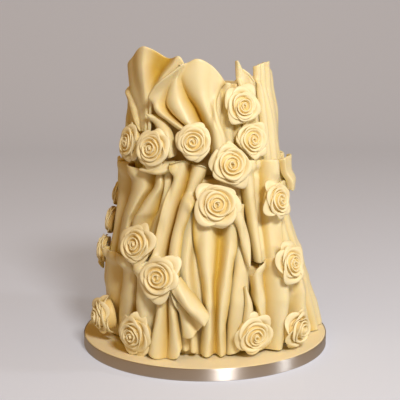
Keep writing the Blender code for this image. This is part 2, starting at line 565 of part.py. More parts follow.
# Rings of a rose from the rim inwards: share of the radius, and share of the height.
ROSE_RINGS = ((1.0, 0.0), (0.97, 0.34), (0.8, 0.66), (0.6, 0.5), (0.46, 0.92), (0.24, 0.74))


def make_rose(name, seats, index, spec, finish):
    """A rose as one closed solid: a flat back, then a rim, two rings of petals and a bud."""
    angle, height, size, turned_by, tall = spec
    across, up, out = rose_frame(angle, height)
    steps = ROSE_PETALS * 3
    points = []
    for ring, (spread, lift) in enumerate(ROSE_RINGS):
        for step in range(steps):
            turn = 2 * math.pi * step / steps + math.radians(turned_by) + 0.35 * ring
            reach = rose_reach(seats, index, across * math.cos(turn) + up * math.sin(turn))
            petal = (0.0, 1.0, 0.55)[(step + ring // 2) % 3]
            wave = 1 - 0.07 * (1 - petal) if ring < 3 else 1 - 0.12 * (1 - petal)
            level = lift * tall * (0.86 + 0.14 * petal) if ring else 0.0
            out_by = spread * wave * reach
            points.append((out_by * math.cos(turn), out_by * math.sin(turn), level))
    points.append((0, 0, tall))
    faces = [tuple(reversed(range(steps)))]
    for ring in range(len(ROSE_RINGS) - 1):
        low, high = ring * steps, (ring + 1) * steps
        for step in range(steps):
            after = (step + 1) % steps
            faces += [(low + step, low + after, high + after), (low + step, high + after, high + step)]
    last = (len(ROSE_RINGS) - 1) * steps
    faces += [(last + step, last + (step + 1) % steps, len(points) - 1) for step in range(steps)]
    seat = seats[index][0] * MM
    place = Matrix((across, up, out)).transposed().to_4x4()
    place.translation = seat
    return add_object(name, points, faces, finish, place)


def build():
    clear_scene()
    chocolate = material("white_chocolate", (0.90, 0.78, 0.50), 0.42)
    petals = material("rose_chocolate", (0.92, 0.80, 0.52), 0.45)
    covering = material("cake_covering", (0.90, 0.78, 0.50), 0.45)
    icing = material("board_icing", (0.92, 0.84, 0.62), 0.5)
    satin = material("satin_ribbon", (0.72, 0.69, 0.66), 0.35)
    card = material("board_foil", (0.60, 0.60, 0.58), 0.4)

    turned("board", ((DRUM_RADIUS, 0), (DRUM_RADIUS, DRUM_HEIGHT)), card, BOARD_SIDES)
    turned("board_icing", ((DRUM_RADIUS, DRUM_HEIGHT + TIER_GAP), (DRUM_RADIUS, ICING_HEIGHT - 0.8),
                           (DRUM_RADIUS - 1, ICING_HEIGHT)), icing, BOARD_SIDES)
    ribbon_band(satin)
    for index, (name, radius) in enumerate(zip(("tier_bottom", "tier_middle", "tier_top"), TIER_RADII)):
        low = tier_base(index)
        high = low + TIER_HEIGHT
        bevel = 0.3 * TIER_EDGE
        turned(name, ((radius, low), (radius, high - TIER_EDGE), (radius - bevel, high - bevel),
                      (radius - TIER_EDGE, high)), covering)

    surface = LaidSurface()
    for name, lines in DRAPES.items():
        hang_drape(name, lines, surface, chocolate)

    seats = [(rose_seat(surface, angle, height, size), size) for angle, height, size, _, _ in ROSES]
    for index, spec in enumerate(ROSES):
        make_rose(f"rose_{index + 1:02d}", seats, index, spec, petals)


build()
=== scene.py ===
"""The looks of a tall white chocolate cake: three covered tiers on an iced board, wrapped in
folded sheets of white modelling chocolate and set with modelled roses. The front faces -Y.

Angles are degrees round the cake, 0 at the front and positive towards +X, the right.
Heights and radii are millimetres until a mesh is made.
"""
import math
from functools import partial, partialmethod

import bpy
import numpy as np
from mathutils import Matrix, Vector


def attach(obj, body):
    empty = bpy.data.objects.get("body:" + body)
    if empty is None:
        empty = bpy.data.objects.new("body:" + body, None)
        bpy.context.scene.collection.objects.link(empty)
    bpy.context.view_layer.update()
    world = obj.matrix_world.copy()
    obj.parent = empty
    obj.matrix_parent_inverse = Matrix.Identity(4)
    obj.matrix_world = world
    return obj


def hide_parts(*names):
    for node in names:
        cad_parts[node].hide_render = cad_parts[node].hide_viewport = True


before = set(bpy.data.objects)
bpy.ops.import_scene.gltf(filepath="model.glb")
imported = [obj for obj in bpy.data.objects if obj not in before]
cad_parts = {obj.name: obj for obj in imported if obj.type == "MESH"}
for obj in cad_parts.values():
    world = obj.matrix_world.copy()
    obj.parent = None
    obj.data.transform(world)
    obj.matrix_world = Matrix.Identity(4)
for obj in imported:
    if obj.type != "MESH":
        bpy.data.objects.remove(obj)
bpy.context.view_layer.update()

# ---------------------------------------------------------------- nodes, finishes and objects


def feed(tree, node, inputs):
    """Gives each named input of a node a value, or another node's output to read."""
    for socket, value in inputs.items():
        if isinstance(value, bpy.types.NodeSocket):
            tree.links.new(value, node.inputs[socket])
        else:
            node.inputs[socket].default_value = value
    return node


def add_node(tree, kind, inputs=None, **settings):
    """Adds a node with its settings, and feeds it."""
    node = tree.nodes.new(kind)
    for name, value in settings.items():
        setattr(node, name, value)
    return feed(tree, node, inputs or {})


def add_sockets(group, in_out, sockets):
    """Gives a node group its own sockets, each as a name, a kind and perhaps a first value."""
    for name, kind, *first in sockets:
        socket = group.interface.new_socket(name, in_out=in_out, socket_type="NodeSocket" + kind)
        if first:
            socket.default_value = first[0]


def new_finish(name):
    """A finish, its node tree and its shader."""
    finish = bpy.data.materials.new(name)
    finish.use_nodes = True
    return finish, finish.node_tree, finish.node_tree.nodes["Principled BSDF"]


def add_object(name, data):
    added = bpy.data.objects.new(name, data)
    bpy.context.scene.collection.objects.link(added)
    return added


# ---------------------------------------------------------------- floor, light and camera
# A plain pale floor that curves up into a back wall, seen from a little above the cake, with
# one soft lamp high in front, a weaker one on the right and warm light from all round. Floor and
# surroundings are evened out to a pale grey where they are seen, and light the cake as they are.
FLOOR_WIDTH = 9.0
FLOOR_FRONT = -4.0
WALL_FOOT = 1.8
WALL_BEND = 1.2
WALL_TOP = 6.0
floor_mesh = bpy.data.meshes.new("studio_floor")
sweep = [(FLOOR_FRONT, 0.0)]
sweep += [(WALL_FOOT + WALL_BEND * math.sin(turn), WALL_BEND - WALL_BEND * math.cos(turn))
          for turn in np.linspace(0, math.pi / 2, 24)]
sweep.append((WALL_FOOT + WALL_BEND, WALL_TOP))
floor_mesh.from_pydata([(side * FLOOR_WIDTH / 2, y, z) for y, z in sweep for side in (-1, 1)], [],
                       [(2 * i, 2 * i + 1, 2 * i + 3, 2 * i + 2) for i in range(len(sweep) - 1)])
floor_mesh.shade_smooth()
floor_paint, floor_tree, floor_shader = new_finish("floor_paint")
floor_light = add_node(floor_tree, "ShaderNodeLightPath")
feed(floor_tree, floor_shader, {
    "Base Color": (0.58, 0.61, 0.68, 1), "Roughness": 0.8, "Emission Color": (0.18, 0.21, 0.26, 1),
    "Emission Strength": floor_light.outputs["Is Camera Ray"]})
floor_mesh.materials.append(floor_paint)
floor = add_object("studio_floor", floor_mesh)

VIEW_DISTANCE, VIEW_HEIGHT, VIEW_TILT = 1.2, 0.4003, math.radians(10.458)
camera_data = bpy.data.cameras.new("camera")
camera_data.sensor_width = 36
camera_data.lens = 88.62
camera_data.shift_x = -0.0125
camera = add_object("camera", camera_data)
camera.location = (0, -VIEW_DISTANCE, VIEW_HEIGHT)
camera.rotation_euler = (math.pi / 2 - VIEW_TILT, 0, 0)
bpy.context.scene.camera = camera


def soft_lamp(name, place, aim, size, power, colour):
    lamp_data = bpy.data.lights.new(name, "AREA")
    lamp_data.shape = "DISK"
    lamp_data.size, lamp_data.energy, lamp_data.color = size, power, colour
    lamp = add_object(name, lamp_data)
    lamp.location = place
    lamp.rotation_euler = (Vector(aim) - Vector(place)).to_track_quat("-Z", "Y").to_euler()


CAKE_MIDDLE = (0, 0, 0.18)
soft_lamp("key_lamp", (0.56, -1.59, 1.42), CAKE_MIDDLE, size=0.45, power=30.4, colour=(1.0, 0.96, 0.93))
soft_lamp("side_lamp", (1.93, -0.41, 0.90), CAKE_MIDDLE, size=0.30, power=8, colour=(0.92, 0.96, 1.0))
world = bpy.data.worlds.new("studio_air")
world.use_nodes = True
air = world.node_tree
lit = feed(air, air.nodes["Background"], {"Color": (1.0, 0.48, 0.03, 1), "Strength": 0.32})
backdrop = add_node(air, "ShaderNodeBackground", {"Color": (0.58, 0.56, 0.55, 1)})
seen = add_node(air, "ShaderNodeLightPath").outputs["Is Camera Ray"]
seen_or_lit = add_node(air, "ShaderNodeMixShader", {"Fac": seen, 1: lit.outputs[0], 2: backdrop.outputs[0]})
feed(air, air.nodes["World Output"], {"Surface": seen_or_lit.outputs[0]})
bpy.context.scene.world = world
bpy.context.scene.view_settings.view_transform = "Standard"

# ---------------------------------------------------------------- the chocolate itself
# White modelling chocolate: cocoa butter, milk and sugar kneaded with syrup and rolled into
# sheets. It is cream, waxy, and lets light in; its folds get painted shade, a deeper butter yellow.
MOTTLING = 0.22
MOTTLING_IN_GLOSS = 0.6
ROLLED_GRAIN_SCALE = 420
GRAIN_HEIGHT = 0.0004


def tone_and_fold_shade_group():
    """Chocolate colour with painted shade that deepens in the folds, with faint mottling and a rolled
    surface.
    """
    group = bpy.data.node_groups.new("chocolate_tone_and_fold_shade", "ShaderNodeTree")
    add_sockets(group, "INPUT", (
        ("Crest", "Color", (0.9, 0.8, 0.55, 1)), ("Fold", "Color", (0.8, 0.6, 0.2, 1)),
        ("Depth", "Float", 0.0), ("Mottle Scale", "Float", 40.0), ("Roughness", "Float", 0.4)))
    add_sockets(group, "OUTPUT", (("Colour", "Color"), ("Roughness", "Float"), ("Height", "Float")))
    add = partial(add_node, group)
    given = add("NodeGroupInput").outputs
    place = add("ShaderNodeTexCoord").outputs["Object"]
    cloudy = add("ShaderNodeTexNoise", {"Vector": place, "Scale": given["Mottle Scale"], "Detail": 3})
    uneven = add("ShaderNodeMath", {0: cloudy.outputs["Fac"], 1: MOTTLING, 2: -MOTTLING / 2},
                 operation="MULTIPLY_ADD").outputs[0]
    # Painted shade: the colour goes towards the fold colour by how deep the point lies, plus mottling.
    deep = add("ShaderNodeMath", {0: given["Depth"], 1: uneven}, use_clamp=True)
    colour = add("ShaderNodeMix", {0: deep.outputs[0], 6: given["Crest"], 7: given["Fold"]}, data_type="RGBA")
    polish = add("ShaderNodeMath", {0: uneven, 1: MOTTLING_IN_GLOSS, 2: given["Roughness"]},
                 operation="MULTIPLY_ADD")
    rolled = add("ShaderNodeTexNoise", {"Vector": place, "Scale": ROLLED_GRAIN_SCALE, "Detail": 2})
    add("NodeGroupOutput", {"Colour": colour.outputs[2], "Roughness": polish.outputs[0],
                            "Height": rolled.outputs["Fac"]})
    return group


chocolate_tone_and_fold_shade = tone_and_fold_shade_group()


def chocolate(name, crest, fold, roughness, mottle_scale, bump, waxiness):
    """A chocolate or icing finish; a mesh attribute says how deep a point lies in its fold, and by it the
    fold colour is mixed in as painted shade.
    """
    finish, tree, shader = new_finish(name)
    depth = add_node(tree, "ShaderNodeAttribute", attribute_name="fold_depth")
    tone = add_node(tree, "ShaderNodeGroup", {
        "Crest": (*crest, 1), "Fold": (*fold, 1), "Depth": depth.outputs["Fac"],
        "Mottle Scale": mottle_scale, "Roughness": roughness}, node_tree=chocolate_tone_and_fold_shade).outputs
    grain = add_node(tree, "ShaderNodeBump", {
        "Strength": bump, "Distance": GRAIN_HEIGHT, "Height": tone["Height"]})
    feed(tree, shader, {
        "Base Color": tone["Colour"], "Roughness": tone["Roughness"], "Normal": grain.outputs["Normal"],
        "Subsurface Weight": waxiness, "Subsurface Radius": (0.0036, 0.0028, 0.0012),
        "Subsurface Scale": 1.0, "IOR": 1.46, "Specular IOR Level": 0.45})
    return finish


# The fold colour is painted shade, mixed in where a sheet lies deep in its folds.
white_chocolate = chocolate("white_chocolate", crest=(0.90, 0.81, 0.51), fold=(0.69, 0.48, 0.08),
                            roughness=0.40, mottle_scale=45, bump=0.12, waxiness=0.35)

# ---------------------------------------------------------------- the three tiers
# Sponge cakes stacked on dowels, each coated smooth in chocolate paste with a soft top edge.
# They show only through gaps between the sheets and inside the open crown.
GAP = 0.5  # clearance between pieces that touch
TIER_RADII = (106.0, 90.0, 68.0)
TIER_HEIGHT = 102.0
TIER_STEP = 102.3
FIRST_TIER = 15.3
TIER_EDGE = 4.0


def turned(name, outline, finish, sides=160):
    """A solid turned about the Z axis from its outline, from the middle of its underside to the
    middle of its top."""
    turns = np.linspace(0, 2 * math.pi, sides, endpoint=False)
    rings = outline[1:-1]
    points = [(0, 0, outline[0][1])]
    for radius, height in rings:
        points += [(radius * math.cos(a), radius * math.sin(a), height) for a in turns]
    points.append((0, 0, outline[-1][1]))
    faces = [(0, 1 + (side + 1) % sides, 1 + side) for side in range(sides)]
    for ring in range(len(rings) - 1):
        low, high = 1 + ring * sides, 1 + (ring + 1) * sides
        faces += [(low + side, low + (side + 1) % sides, high + (side + 1) % sides, high + side)
                  for side in range(sides)]
    last, top = 1 + (len(rings) - 1) * sides, len(points) - 1
    faces += [(last + side, last + (side + 1) % sides, top) for side in range(sides)]
    mesh = bpy.data.meshes.new(name)
    mesh.from_pydata([(x / 1000, y / 1000, z / 1000) for x, y, z in points], [], faces)
    mesh.shade_smooth()
    mesh.materials.append(finish)
    return add_object(name, mesh)


def rounded(radius, low, high, bottom_edge, top_edge, steps=8):
    """The outline of a flat round thing whose two edges are rounded."""
    quarter = np.linspace(0, math.pi / 2, steps)
    under = [(radius - bottom_edge * (1 - math.sin(turn)), low + bottom_edge * (1 - math.cos(turn)))
             for turn in quarter]
    over = [(radius - top_edge * (1 - math.cos(turn)), high - top_edge * (1 - math.sin(turn)))
            for turn in quarter]
    inner = [(share * (radius - top_edge), high) for share in (0.8, 0.5, 0.2)]
    return [(0, low)] + under + over + inner + [(0, high)]


covering = chocolate("cake_covering", crest=(0.84, 0.68, 0.34), fold=(0.74, 0.50, 0.12),
                     roughness=0.5, mottle_scale=30, bump=0.25, waxiness=0.3)
for index, name in enumerate(("tier_bottom", "tier_middle", "tier_top")):
    base = FIRST_TIER + index * TIER_STEP
    outline = rounded(TIER_RADII[index], base, base + TIER_HEIGHT, bottom_edge=1.0, top_edge=TIER_EDGE)
    tier = turned(name + "_cake", outline, covering)
    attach(tier, "root")
    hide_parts(name)

# ---------------------------------------------------------------- the crown of folded sheets
# Rolled sheets of white chocolate, gathered by hand into folds and pressed round the top tier
# while soft, so that they stand up past it in an open crown. Each edge is a cut edge.
SKIRT_HEIGHTS = (0, 40, 80, 117, 160, 200, 233, 260, 293, 320, 345, 370)
SKIRT_LEFT = (117, 122, 126, 122, 112, 105, 102, 99, 93, 92, 93, 90)
SKIRT_RIGHT = (117, 122, 126, 120, 108, 101, 96, 91, 86, 80, 78, 78)
SHEET = 2.4
LOWEST_HEM = 16.6
ROW_STEP = 2.6
COLUMN_STEP = 1.5
FULL_FOLD = 9  # folds this deep or deeper are pinched in full
# How far below its crest a fold gets its full painted shade.
DEEPEST_SHADE = 12  # how far below its crest a fold has its full colour
KEPT_RELIEF = 0.85  # the share of a fold's depth that stays where the sheet is pushed out
EDGE_FULLNESS = 0.9  # how round the cut edges are, where 1 is a half circle
SURFACE_TOP = 400


def skirt_radius(angle, height):
    """How far out a sheet lies at this angle and height."""
    left = np.interp(height, SKIRT_HEIGHTS, SKIRT_LEFT)
    right = np.interp(height, SKIRT_HEIGHTS, SKIRT_RIGHT)
    return 0.5 * (left + right) + 0.5 * (right - left) * np.sin(np.radians(angle))


def round_point(angle, height, radius):
    turn = np.radians(angle)
    return np.stack([radius * np.sin(turn), -radius * np.cos(turn), height * np.ones_like(radius)], axis=-1)


class LaidSurface:
    """The outermost radius of what has been laid, on a grid of half degrees by millimetres."""

    def __init__(self):
        self.radius = np.zeros((720, SURFACE_TOP))
        for index, radius in enumerate(TIER_RADII):
            low = int(FIRST_TIER + index * TIER_STEP)
            self.radius[:, low:low + int(TIER_HEIGHT) + 2] = radius

    def lay(self, points):
        angle = np.degrees(np.arctan2(points[..., 0], -points[..., 1]))
        column = np.round(angle * 2).astype(int) % 720
        row = np.clip(points[..., 2].astype(int), 0, SURFACE_TOP - 1)
        np.maximum.at(self.radius, (column, row), np.hypot(points[..., 0], points[..., 1]))

    def under(self, angle, height, reach=1):
        """The highest radius within reach cells of each point."""
        column, row = np.round(angle * 2).astype(int), height.astype(int)
        found = np.zeros(angle.shape)
        for across in range(-reach, reach + 1):
            for up in range(-reach, reach + 1):
                near = np.clip(row + up, 0, SURFACE_TOP - 1)
                found = np.maximum(found, self.radius[(column + across) % 720, near])
        return found


laid = LaidSurface()


def curve_through(stops, places):
    """Points of a smooth curve through equally spaced stops, at places counted in stops."""
    stops = np.asarray(stops, float)
    places = np.asarray(places, float)
    if len(stops) == 1:
        return np.repeat(stops, len(places), axis=0)
    padded = np.concatenate([[2 * stops[0] - stops[1]], stops, [2 * stops[-1] - stops[-2]]])
    index = np.clip(places.astype(int), 0, len(stops) - 2)
    t = (places - index).reshape((-1,) + (1,) * (stops.ndim - 1))
    p0, p1, p2, p3 = (padded[index + shift] for shift in range(4))
    return 0.5 * (2 * p1 + (p2 - p0) * t + (2 * p0 - 5 * p1 + 4 * p2 - p3) * t ** 2
                  + (3 * p1 - p0 - 3 * p2 + p3) * t ** 3)


def folded(left, right, widths, depth, stand=(0,), tucked=(0, 0)):
    """Edge, crest and groove lines of a sheet of even folds between two edges. widths are the
    folds' shares of the sheet, depth how deep the grooves between them are, and tucked how far
    the first and last folds go under their neighbours."""
    shares = np.cumsum((0,) + widths) / sum(widths)
    places = np.linspace(0, 1, 5)
    edges = [curve_through(edge, places * (len(edge) - 1)) for edge in (left, right)]
    outs = np.interp(places, np.linspace(0, 1, len(stand)), stand)
    lines = []
    for fold in range(len(widths)):
        under = tucked[0] if fold == 0 else 0
        lines.append((outs - depth[fold] - under, edges[0] + (edges[1] - edges[0]) * shares[fold]))
        middle = (shares[fold] + shares[fold + 1]) / 2
        under = tucked[0] if fold == 0 else tucked[1] if fold == len(widths) - 1 else 0
        lines.append((outs - under, edges[0] + (edges[1] - edges[0]) * middle))
    lines.append((outs - depth[-1] - tucked[1], edges[1]))
    return lines


def smooth_grid(grid, rounds, keep_max=False):
    """Spreads values to their neighbours in a grid, by their average or their highest."""
    for _ in range(rounds):
        for axis in (0, 1):
            edge = np.pad(grid, [(1, 1) if axis == side else (0, 0) for side in (0, 1)], mode="edge")
            before = np.take(edge, range(grid.shape[axis]), axis)
            after = np.take(edge, range(2, grid.shape[axis] + 2), axis)
            if keep_max:
                grid = np.maximum(grid, np.maximum(before, after))
            else:
                grid = (before + 2 * grid + after) / 4
    return grid


def sheet_face(lines, top_waves, seed, pinch=0.65, firm=1):
    """The outer face of a sheet as a grid of points (across, down), laid over all below it, and how
    deep each point lies in its fold, which sets its painted shade. A firmer sheet bridges more of what it is
    laid over."""
    line_count = len(lines)
    outs = [np.atleast_1d(np.asarray(out, float)) for out, _ in lines]
    paths = [np.asarray(path, float) for _, path in lines]
    shares = np.linspace(0, 1, 13)
    coarse = np.array([curve_through(path, shares * (len(path) - 1)) for path in paths])
    radius = skirt_radius(coarse[..., 0], coarse[..., 1])
    spots = round_point(coarse[..., 0], coarse[..., 1], radius)
    long = np.linalg.norm(np.diff(spots, axis=1), axis=-1).sum(axis=1).max()
    gaps = np.linalg.norm(np.diff(spots, axis=0), axis=-1).max(axis=1)
    rows = max(8, int(long / ROW_STEP))
    down = np.linspace(0, 1, rows)
    theta_z = np.array([curve_through(path, down * (len(path) - 1)) for path in paths])
    out = np.array([np.interp(down, np.linspace(0, 1, len(o)), o) for o in outs])
    across, blend, easing = [], [], []
    for span in range(line_count - 1):
        steps = max(5, int(gaps[span] / COLUMN_STEP))
        turn = np.linspace(0, 1, steps, endpoint=span == line_count - 2)
        across.append(span + turn)
        blend.append(np.full(len(turn), span))
        if span == 0:
            easing.append(np.sin(math.pi / 2 * turn))
        elif span == line_count - 2:
            easing.append(1 - np.cos(math.pi / 2 * turn))
        else:
            easing.append((1 - np.cos(math.pi * turn)) / 2)
    across, blend, easing = np.concatenate(across), np.concatenate(blend), np.concatenate(easing)
    turn = across - blend
    rise = out[blend + 1] - out[blend]
    tight = pinch * np.clip(rise / FULL_FOLD, -1, 1)
    warped = across[:, None] - tight * np.sin(math.pi * turn)[:, None] / math.pi
    grid = np.stack([curve_through(theta_z[:, row], warped[:, row]) for row in range(rows)], axis=1)
    angle, height = grid[..., 0], grid[..., 1]
    offset = out[blend] + rise * easing[:, None]
    draw = np.random.default_rng(seed)
    waves = sum(draw.uniform(0.4, 1) * np.sin(angle * draw.uniform(0.15, 0.5) + draw.uniform(0, 7))
                for _ in range(3))
    height = height + top_waves * waves * (1 - down) ** 4 * 0.6
    height = np.maximum(height, LOWEST_HEM)
    soft = sum(draw.uniform(0.3, 1) * np.sin(angle * draw.uniform(0.1, 0.35)
                                             + height * draw.uniform(0.02, 0.06) + draw.uniform(0, 7))
               for _ in range(3))
    wanted = skirt_radius(angle, height) + offset + 0.5 * soft
    relief = offset - offset.min(axis=0)
    need = laid.under(angle, height) + GAP + SHEET
    raised = np.maximum(need + KEPT_RELIEF * relief - wanted, 0)
    raised = smooth_grid(smooth_grid(raised, firm, True), 3 * firm)
    face = np.maximum(wanted + raised, need)
    level = np.maximum(out[blend], out[blend + 1])
    # Painted shade: how deep each point lies below the higher of its two neighbouring lines.
    depth = smooth_grid(np.clip((level - offset) / DEEPEST_SHADE, 0, 1), 2)
    return round_point(angle, height, face), depth


def add_sheet(name, points, depth):
    """Gives a face grid its back and its rounded cut edge, and makes the piece's mesh."""
    du, dv = np.gradient(points, axis=0), np.gradient(points, axis=1)
    normal = np.cross(dv, du)
    normal /= np.linalg.norm(normal, axis=-1, keepdims=True) + 1e-9
    middle = points.shape[0] // 2, points.shape[1] // 2
    outward = points[middle] * (1, 1, 0)
    if normal[middle] @ outward < 0:
        normal = -normal
    columns, rows = depth.shape
    rim = [(c, 0) for c in range(columns)] + [(columns - 1, r) for r in range(1, rows)]
    rim += [(c, rows - 1) for c in range(columns - 2, -1, -1)] + [(0, r) for r in range(rows - 2, 0, -1)]
    rim = np.array(rim)
    edge = points[rim[:, 0], rim[:, 1]]
    edge_normal = normal[rim[:, 0], rim[:, 1]]
    along_rim = np.roll(edge, -1, 0) - np.roll(edge, 1, 0)
    outwards = np.cross(along_rim, edge_normal)
    outwards /= np.linalg.norm(outwards, axis=-1, keepdims=True) + 1e-9
    inner = np.clip(rim, 1, [columns - 2, rows - 2])
    away = edge - points[inner[:, 0], inner[:, 1]]
    if (outwards * away).sum() < 0:
        outwards = -outwards
    half = SHEET / 2
    count = columns * rows
    stacks = [points.reshape(-1, 3), (points - normal * SHEET).reshape(-1, 3)]
    for turn in np.radians((45, 90, 135)):
        inward, bulge = half * (1 - math.cos(turn)), half * math.sin(turn) * EDGE_FULLNESS
        stacks.append(edge - edge_normal * inward + outwards * bulge)
    all_points = np.concatenate(stacks)
    all_points[:, 2] = np.maximum(all_points[:, 2], FIRST_TIER + 0.1)
    number = np.arange(count).reshape(columns, rows)
    a, b, c, d = number[:-1, :-1], number[:-1, 1:], number[1:, 1:], number[1:, :-1]
    front = np.stack([a, b, c, d], axis=-1).reshape(-1, 4)
    back = front[:, ::-1] + count
    loops = [number[rim[:, 0], rim[:, 1]]]
    loops += [2 * count + ring * len(rim) + np.arange(len(rim)) for ring in range(3)]
    loops.append(loops[0] + count)
    sides = [np.stack([low, np.roll(low, -1), np.roll(high, -1), high], axis=-1)
             for low, high in zip(loops, loops[1:])]
    faces = np.concatenate([front, back] + sides)
    broad = 2 * len(front)
    for some, wanted in ((slice(0, broad), normal[0, 0]), (slice(broad, None), outwards[0])):
        start, following, third = all_points[faces[some][0][:3]]
        if np.cross(following - start, third - start) @ wanted < 0:
            faces[some] = faces[some][:, ::-1]
    mesh = bpy.data.meshes.new(name)
    mesh.from_pydata((all_points / 1000).tolist(), [], faces.tolist())
    # Painted shade for the face and the back, and half of it along the cut edge.
    shade = np.concatenate([depth.reshape(-1), depth.reshape(-1)] + [depth[rim[:, 0], rim[:, 1]] * 0.5] * 3)
    layer = mesh.attributes.new("fold_depth", "FLOAT", "POINT")
    layer.data.foreach_set("value", shade.astype(np.float32))
    mesh.materials.append(white_chocolate)
    mesh.shade_smooth()
    return add_object(name, mesh)


def halved(grid, axis):
    """A grid of points with one more point midway between each two along an axis."""
    grid = np.moveaxis(grid, axis, 0)
    fine = np.empty((2 * len(grid) - 1,) + grid.shape[1:])
    fine[0::2], fine[1::2] = grid, (grid[1:] + grid[:-1]) / 2
    return np.moveaxis(fine, 0, axis)


def hang(node, lines, waves, seed, **ways):
    """Makes one sheet, lays it on the cake and gives it the place of its plain solid. Its lines run
    from top to foot along each edge, crest and valley, from left to right. A line has how far it
    stands out, from top to foot, and then its points as (angle, height)."""
    points, depth = sheet_face(lines, waves, seed, **ways)
    piece = add_sheet(node.replace("drape", "sheet"), points, depth)
    laid.lay(halved(halved(points, 0), 1))
    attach(piece, "root")
    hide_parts(node)


hang("drape_crown_back_right", folded(
    ((85, 337), (85, 290), (85, 224)), ((176, 317), (176, 280), (178, 224)),
    (3, 4, 2, 5, 3, 4), (7, 9, 7, 9, 8, 8), (-2, -2, -10)), 2.5, 3)
hang("drape_crown_back_left", folded(
    ((174, 318), (175, 280), (176, 223)), ((266, 340), (258, 290), (250, 223)),
    (4, 3, 5, 3, 3, 4), (9, 7, 9, 8, 7, 8), (-2, -2, -10)), 3, 4)
hang("drape_left_shoulder", folded(
    ((-106, 316), (-110, 280), (-112, 222)), ((-70, 312), (-57, 282), (-47, 222)),
    (2, 3, 2, 3), (6, 8, 6, 7), (0, 2, 1, -8)), 2.5, 5)
hang("drape_crown_left", (
    ((-2, -2, -3), ((-85.5, 339), (-85.5, 327), (-84, 315), (-72, 304), (-64, 292), (-54, 272))),
    ((5, 4, 2, 0), ((-62, 356), (-61.5, 339), (-60, 323), (-57, 309), (-54, 296), (-50, 272))),
    ((10, 8, 5, 2, 0), ((-46, 368), (-47, 354), (-47.5, 338), (-48, 322), (-48, 302), (-47, 272))),
    ((-9, -8, -3, 0, -2), ((-33, 355), (-38.5, 344), (-42.5, 332), (-44.5, 319), (-45.5, 301),
                           (-45, 272))),
    ((8, 8, 7, 4, 0), ((-19, 358), (-22.5, 348), (-30, 334), (-37.5, 319), (-42, 303),
                       (-43.5, 272))),
    ((5, 5, 4, 2, -1), ((-15, 350), (-19.5, 342), (-28, 332), (-36, 318), (-41, 303), (-42, 272)))), 0.4, 6,
    pinch=-0.2)
hang("drape_crown_gap", folded(
    ((8, 328), (6, 290), (4, 236)), ((31, 326), (32, 290), (34, 228)),
    (3, 4, 3), (5, 5, 5), (-3, -3, -6)), 1.0, 7)
hang("drape_crown_right_leaf", (
    ((-3, -4, -8), ((26, 352), (27, 330), (29, 291), (30, 232))),
    ((1, 0, -4), ((28, 351), (32, 328), (35, 291), (37, 232))),
    ((-4, -5, -8), ((34, 343), (43, 328), (46, 290), (47, 232))),
    ((-3, -4, -7), ((40, 337), (52, 318), (57, 290), (58, 232)))), 0.0, 8)
hang("drape_crown_right", (
    ((-4, -4, -5, -6), ((48, 345), (48, 318), (49, 278), (50, 226))),
    ((1, 0, 0, -2), ((52, 347), (52, 318), (53, 278), (54, 222))),
    ((-4, -4, -5, -6), ((58, 347), (57, 317), (58, 277), (59, 214))),
    ((0, 0, 0, -3), ((64, 348), (64, 317), (65, 277), (65, 208))),
    ((-4, -4, -5, -5), ((71, 348), (70, 316), (70, 275), (71, 206))),
    ((0, 0, 0, -3), ((80, 349), (78, 315), (78, 275), (80, 206))),
    ((-5, -5, -5, -5), ((90, 342), (90, 315), (90, 275), (90, 206)))), 0.4, 9)
hang("drape_crown_tail", (
    ((-3, -1, -2), ((-43.5, 291), (-40.5, 284), (-36, 275), (-31.5, 265), (-28.5, 254),
                    (-26, 244))),
    ((0, 6, 5), ((-41.5, 292), (-36, 286), (-31, 278), (-27, 268), (-24.5, 257), (-22.5, 246))),
    ((-3, -1, -2), ((-39.5, 292), (-32.5, 288), (-27, 281), (-23, 271), (-21, 259), (-19.5, 248)))), 0.0, 10)
hang("drape_crown_front", (
    ((2, 3, 4, 3, 2), ((-17.5, 347), (-25.5, 336), (-33.5, 324), (-38.5, 311), (-38.5, 302),
                       (-35, 293), (-27.5, 286), (-20, 278), (-12, 271), (-6, 262))),
    ((5, 7, 9, 8, 6), ((-15.5, 348), (-22.5, 336), (-29.5, 323), (-34, 311), (-34, 302),
                       (-30, 295), (-24, 288), (-17, 281), (-9.5, 272), (-4, 262))),
    ((5, 4, -2, -6, -7, -7, -6), ((-15, 349), (-21, 336), (-27, 323), (-30.5, 311), (-30.5, 302),
                                  (-27, 294), (-21, 287), (-14.5, 280), (-8, 272),
                                  (-2.5, 260))),
    ((5, 6, 7, 7, 6), ((-14, 349), (-19, 337), (-21.5, 324), (-22, 313), (-20, 304), (-17, 297),
                       (-13.5, 289), (-9, 281), (-4.5, 272), (0, 256))),
    ((4, -2, -8, -10, -11, -10), ((-13, 350), (-17.5, 336), (-16.5, 324), (-13, 312), (-9, 303),
                                  (-6, 295), (-3.5, 287), (-1.5, 280), (1, 270), (4, 250))),
    ((6, 7, 8, 8, 5), ((-5, 355), (-5.5, 342), (-5, 330), (-3.5, 320), (-1.5, 310), (0.5, 301),
                       (2.5, 293), (4.5, 282), (7, 270), (9, 250))),
    ((4, 5, 5, 3), ((5, 347), (4.5, 336), (3.5, 326), (3.5, 317), (3.5, 308), (5, 299), (6, 290),
                    (8, 280), (11, 268), (13, 250))),
    ((-3, -5, -6), ((16.5, 328), (13, 323), (10.5, 315), (8.5, 307), (8.5, 299), (9.5, 291),
                    (11, 283), (13, 275), (15, 264), (17, 247)))), 0.3, 11)

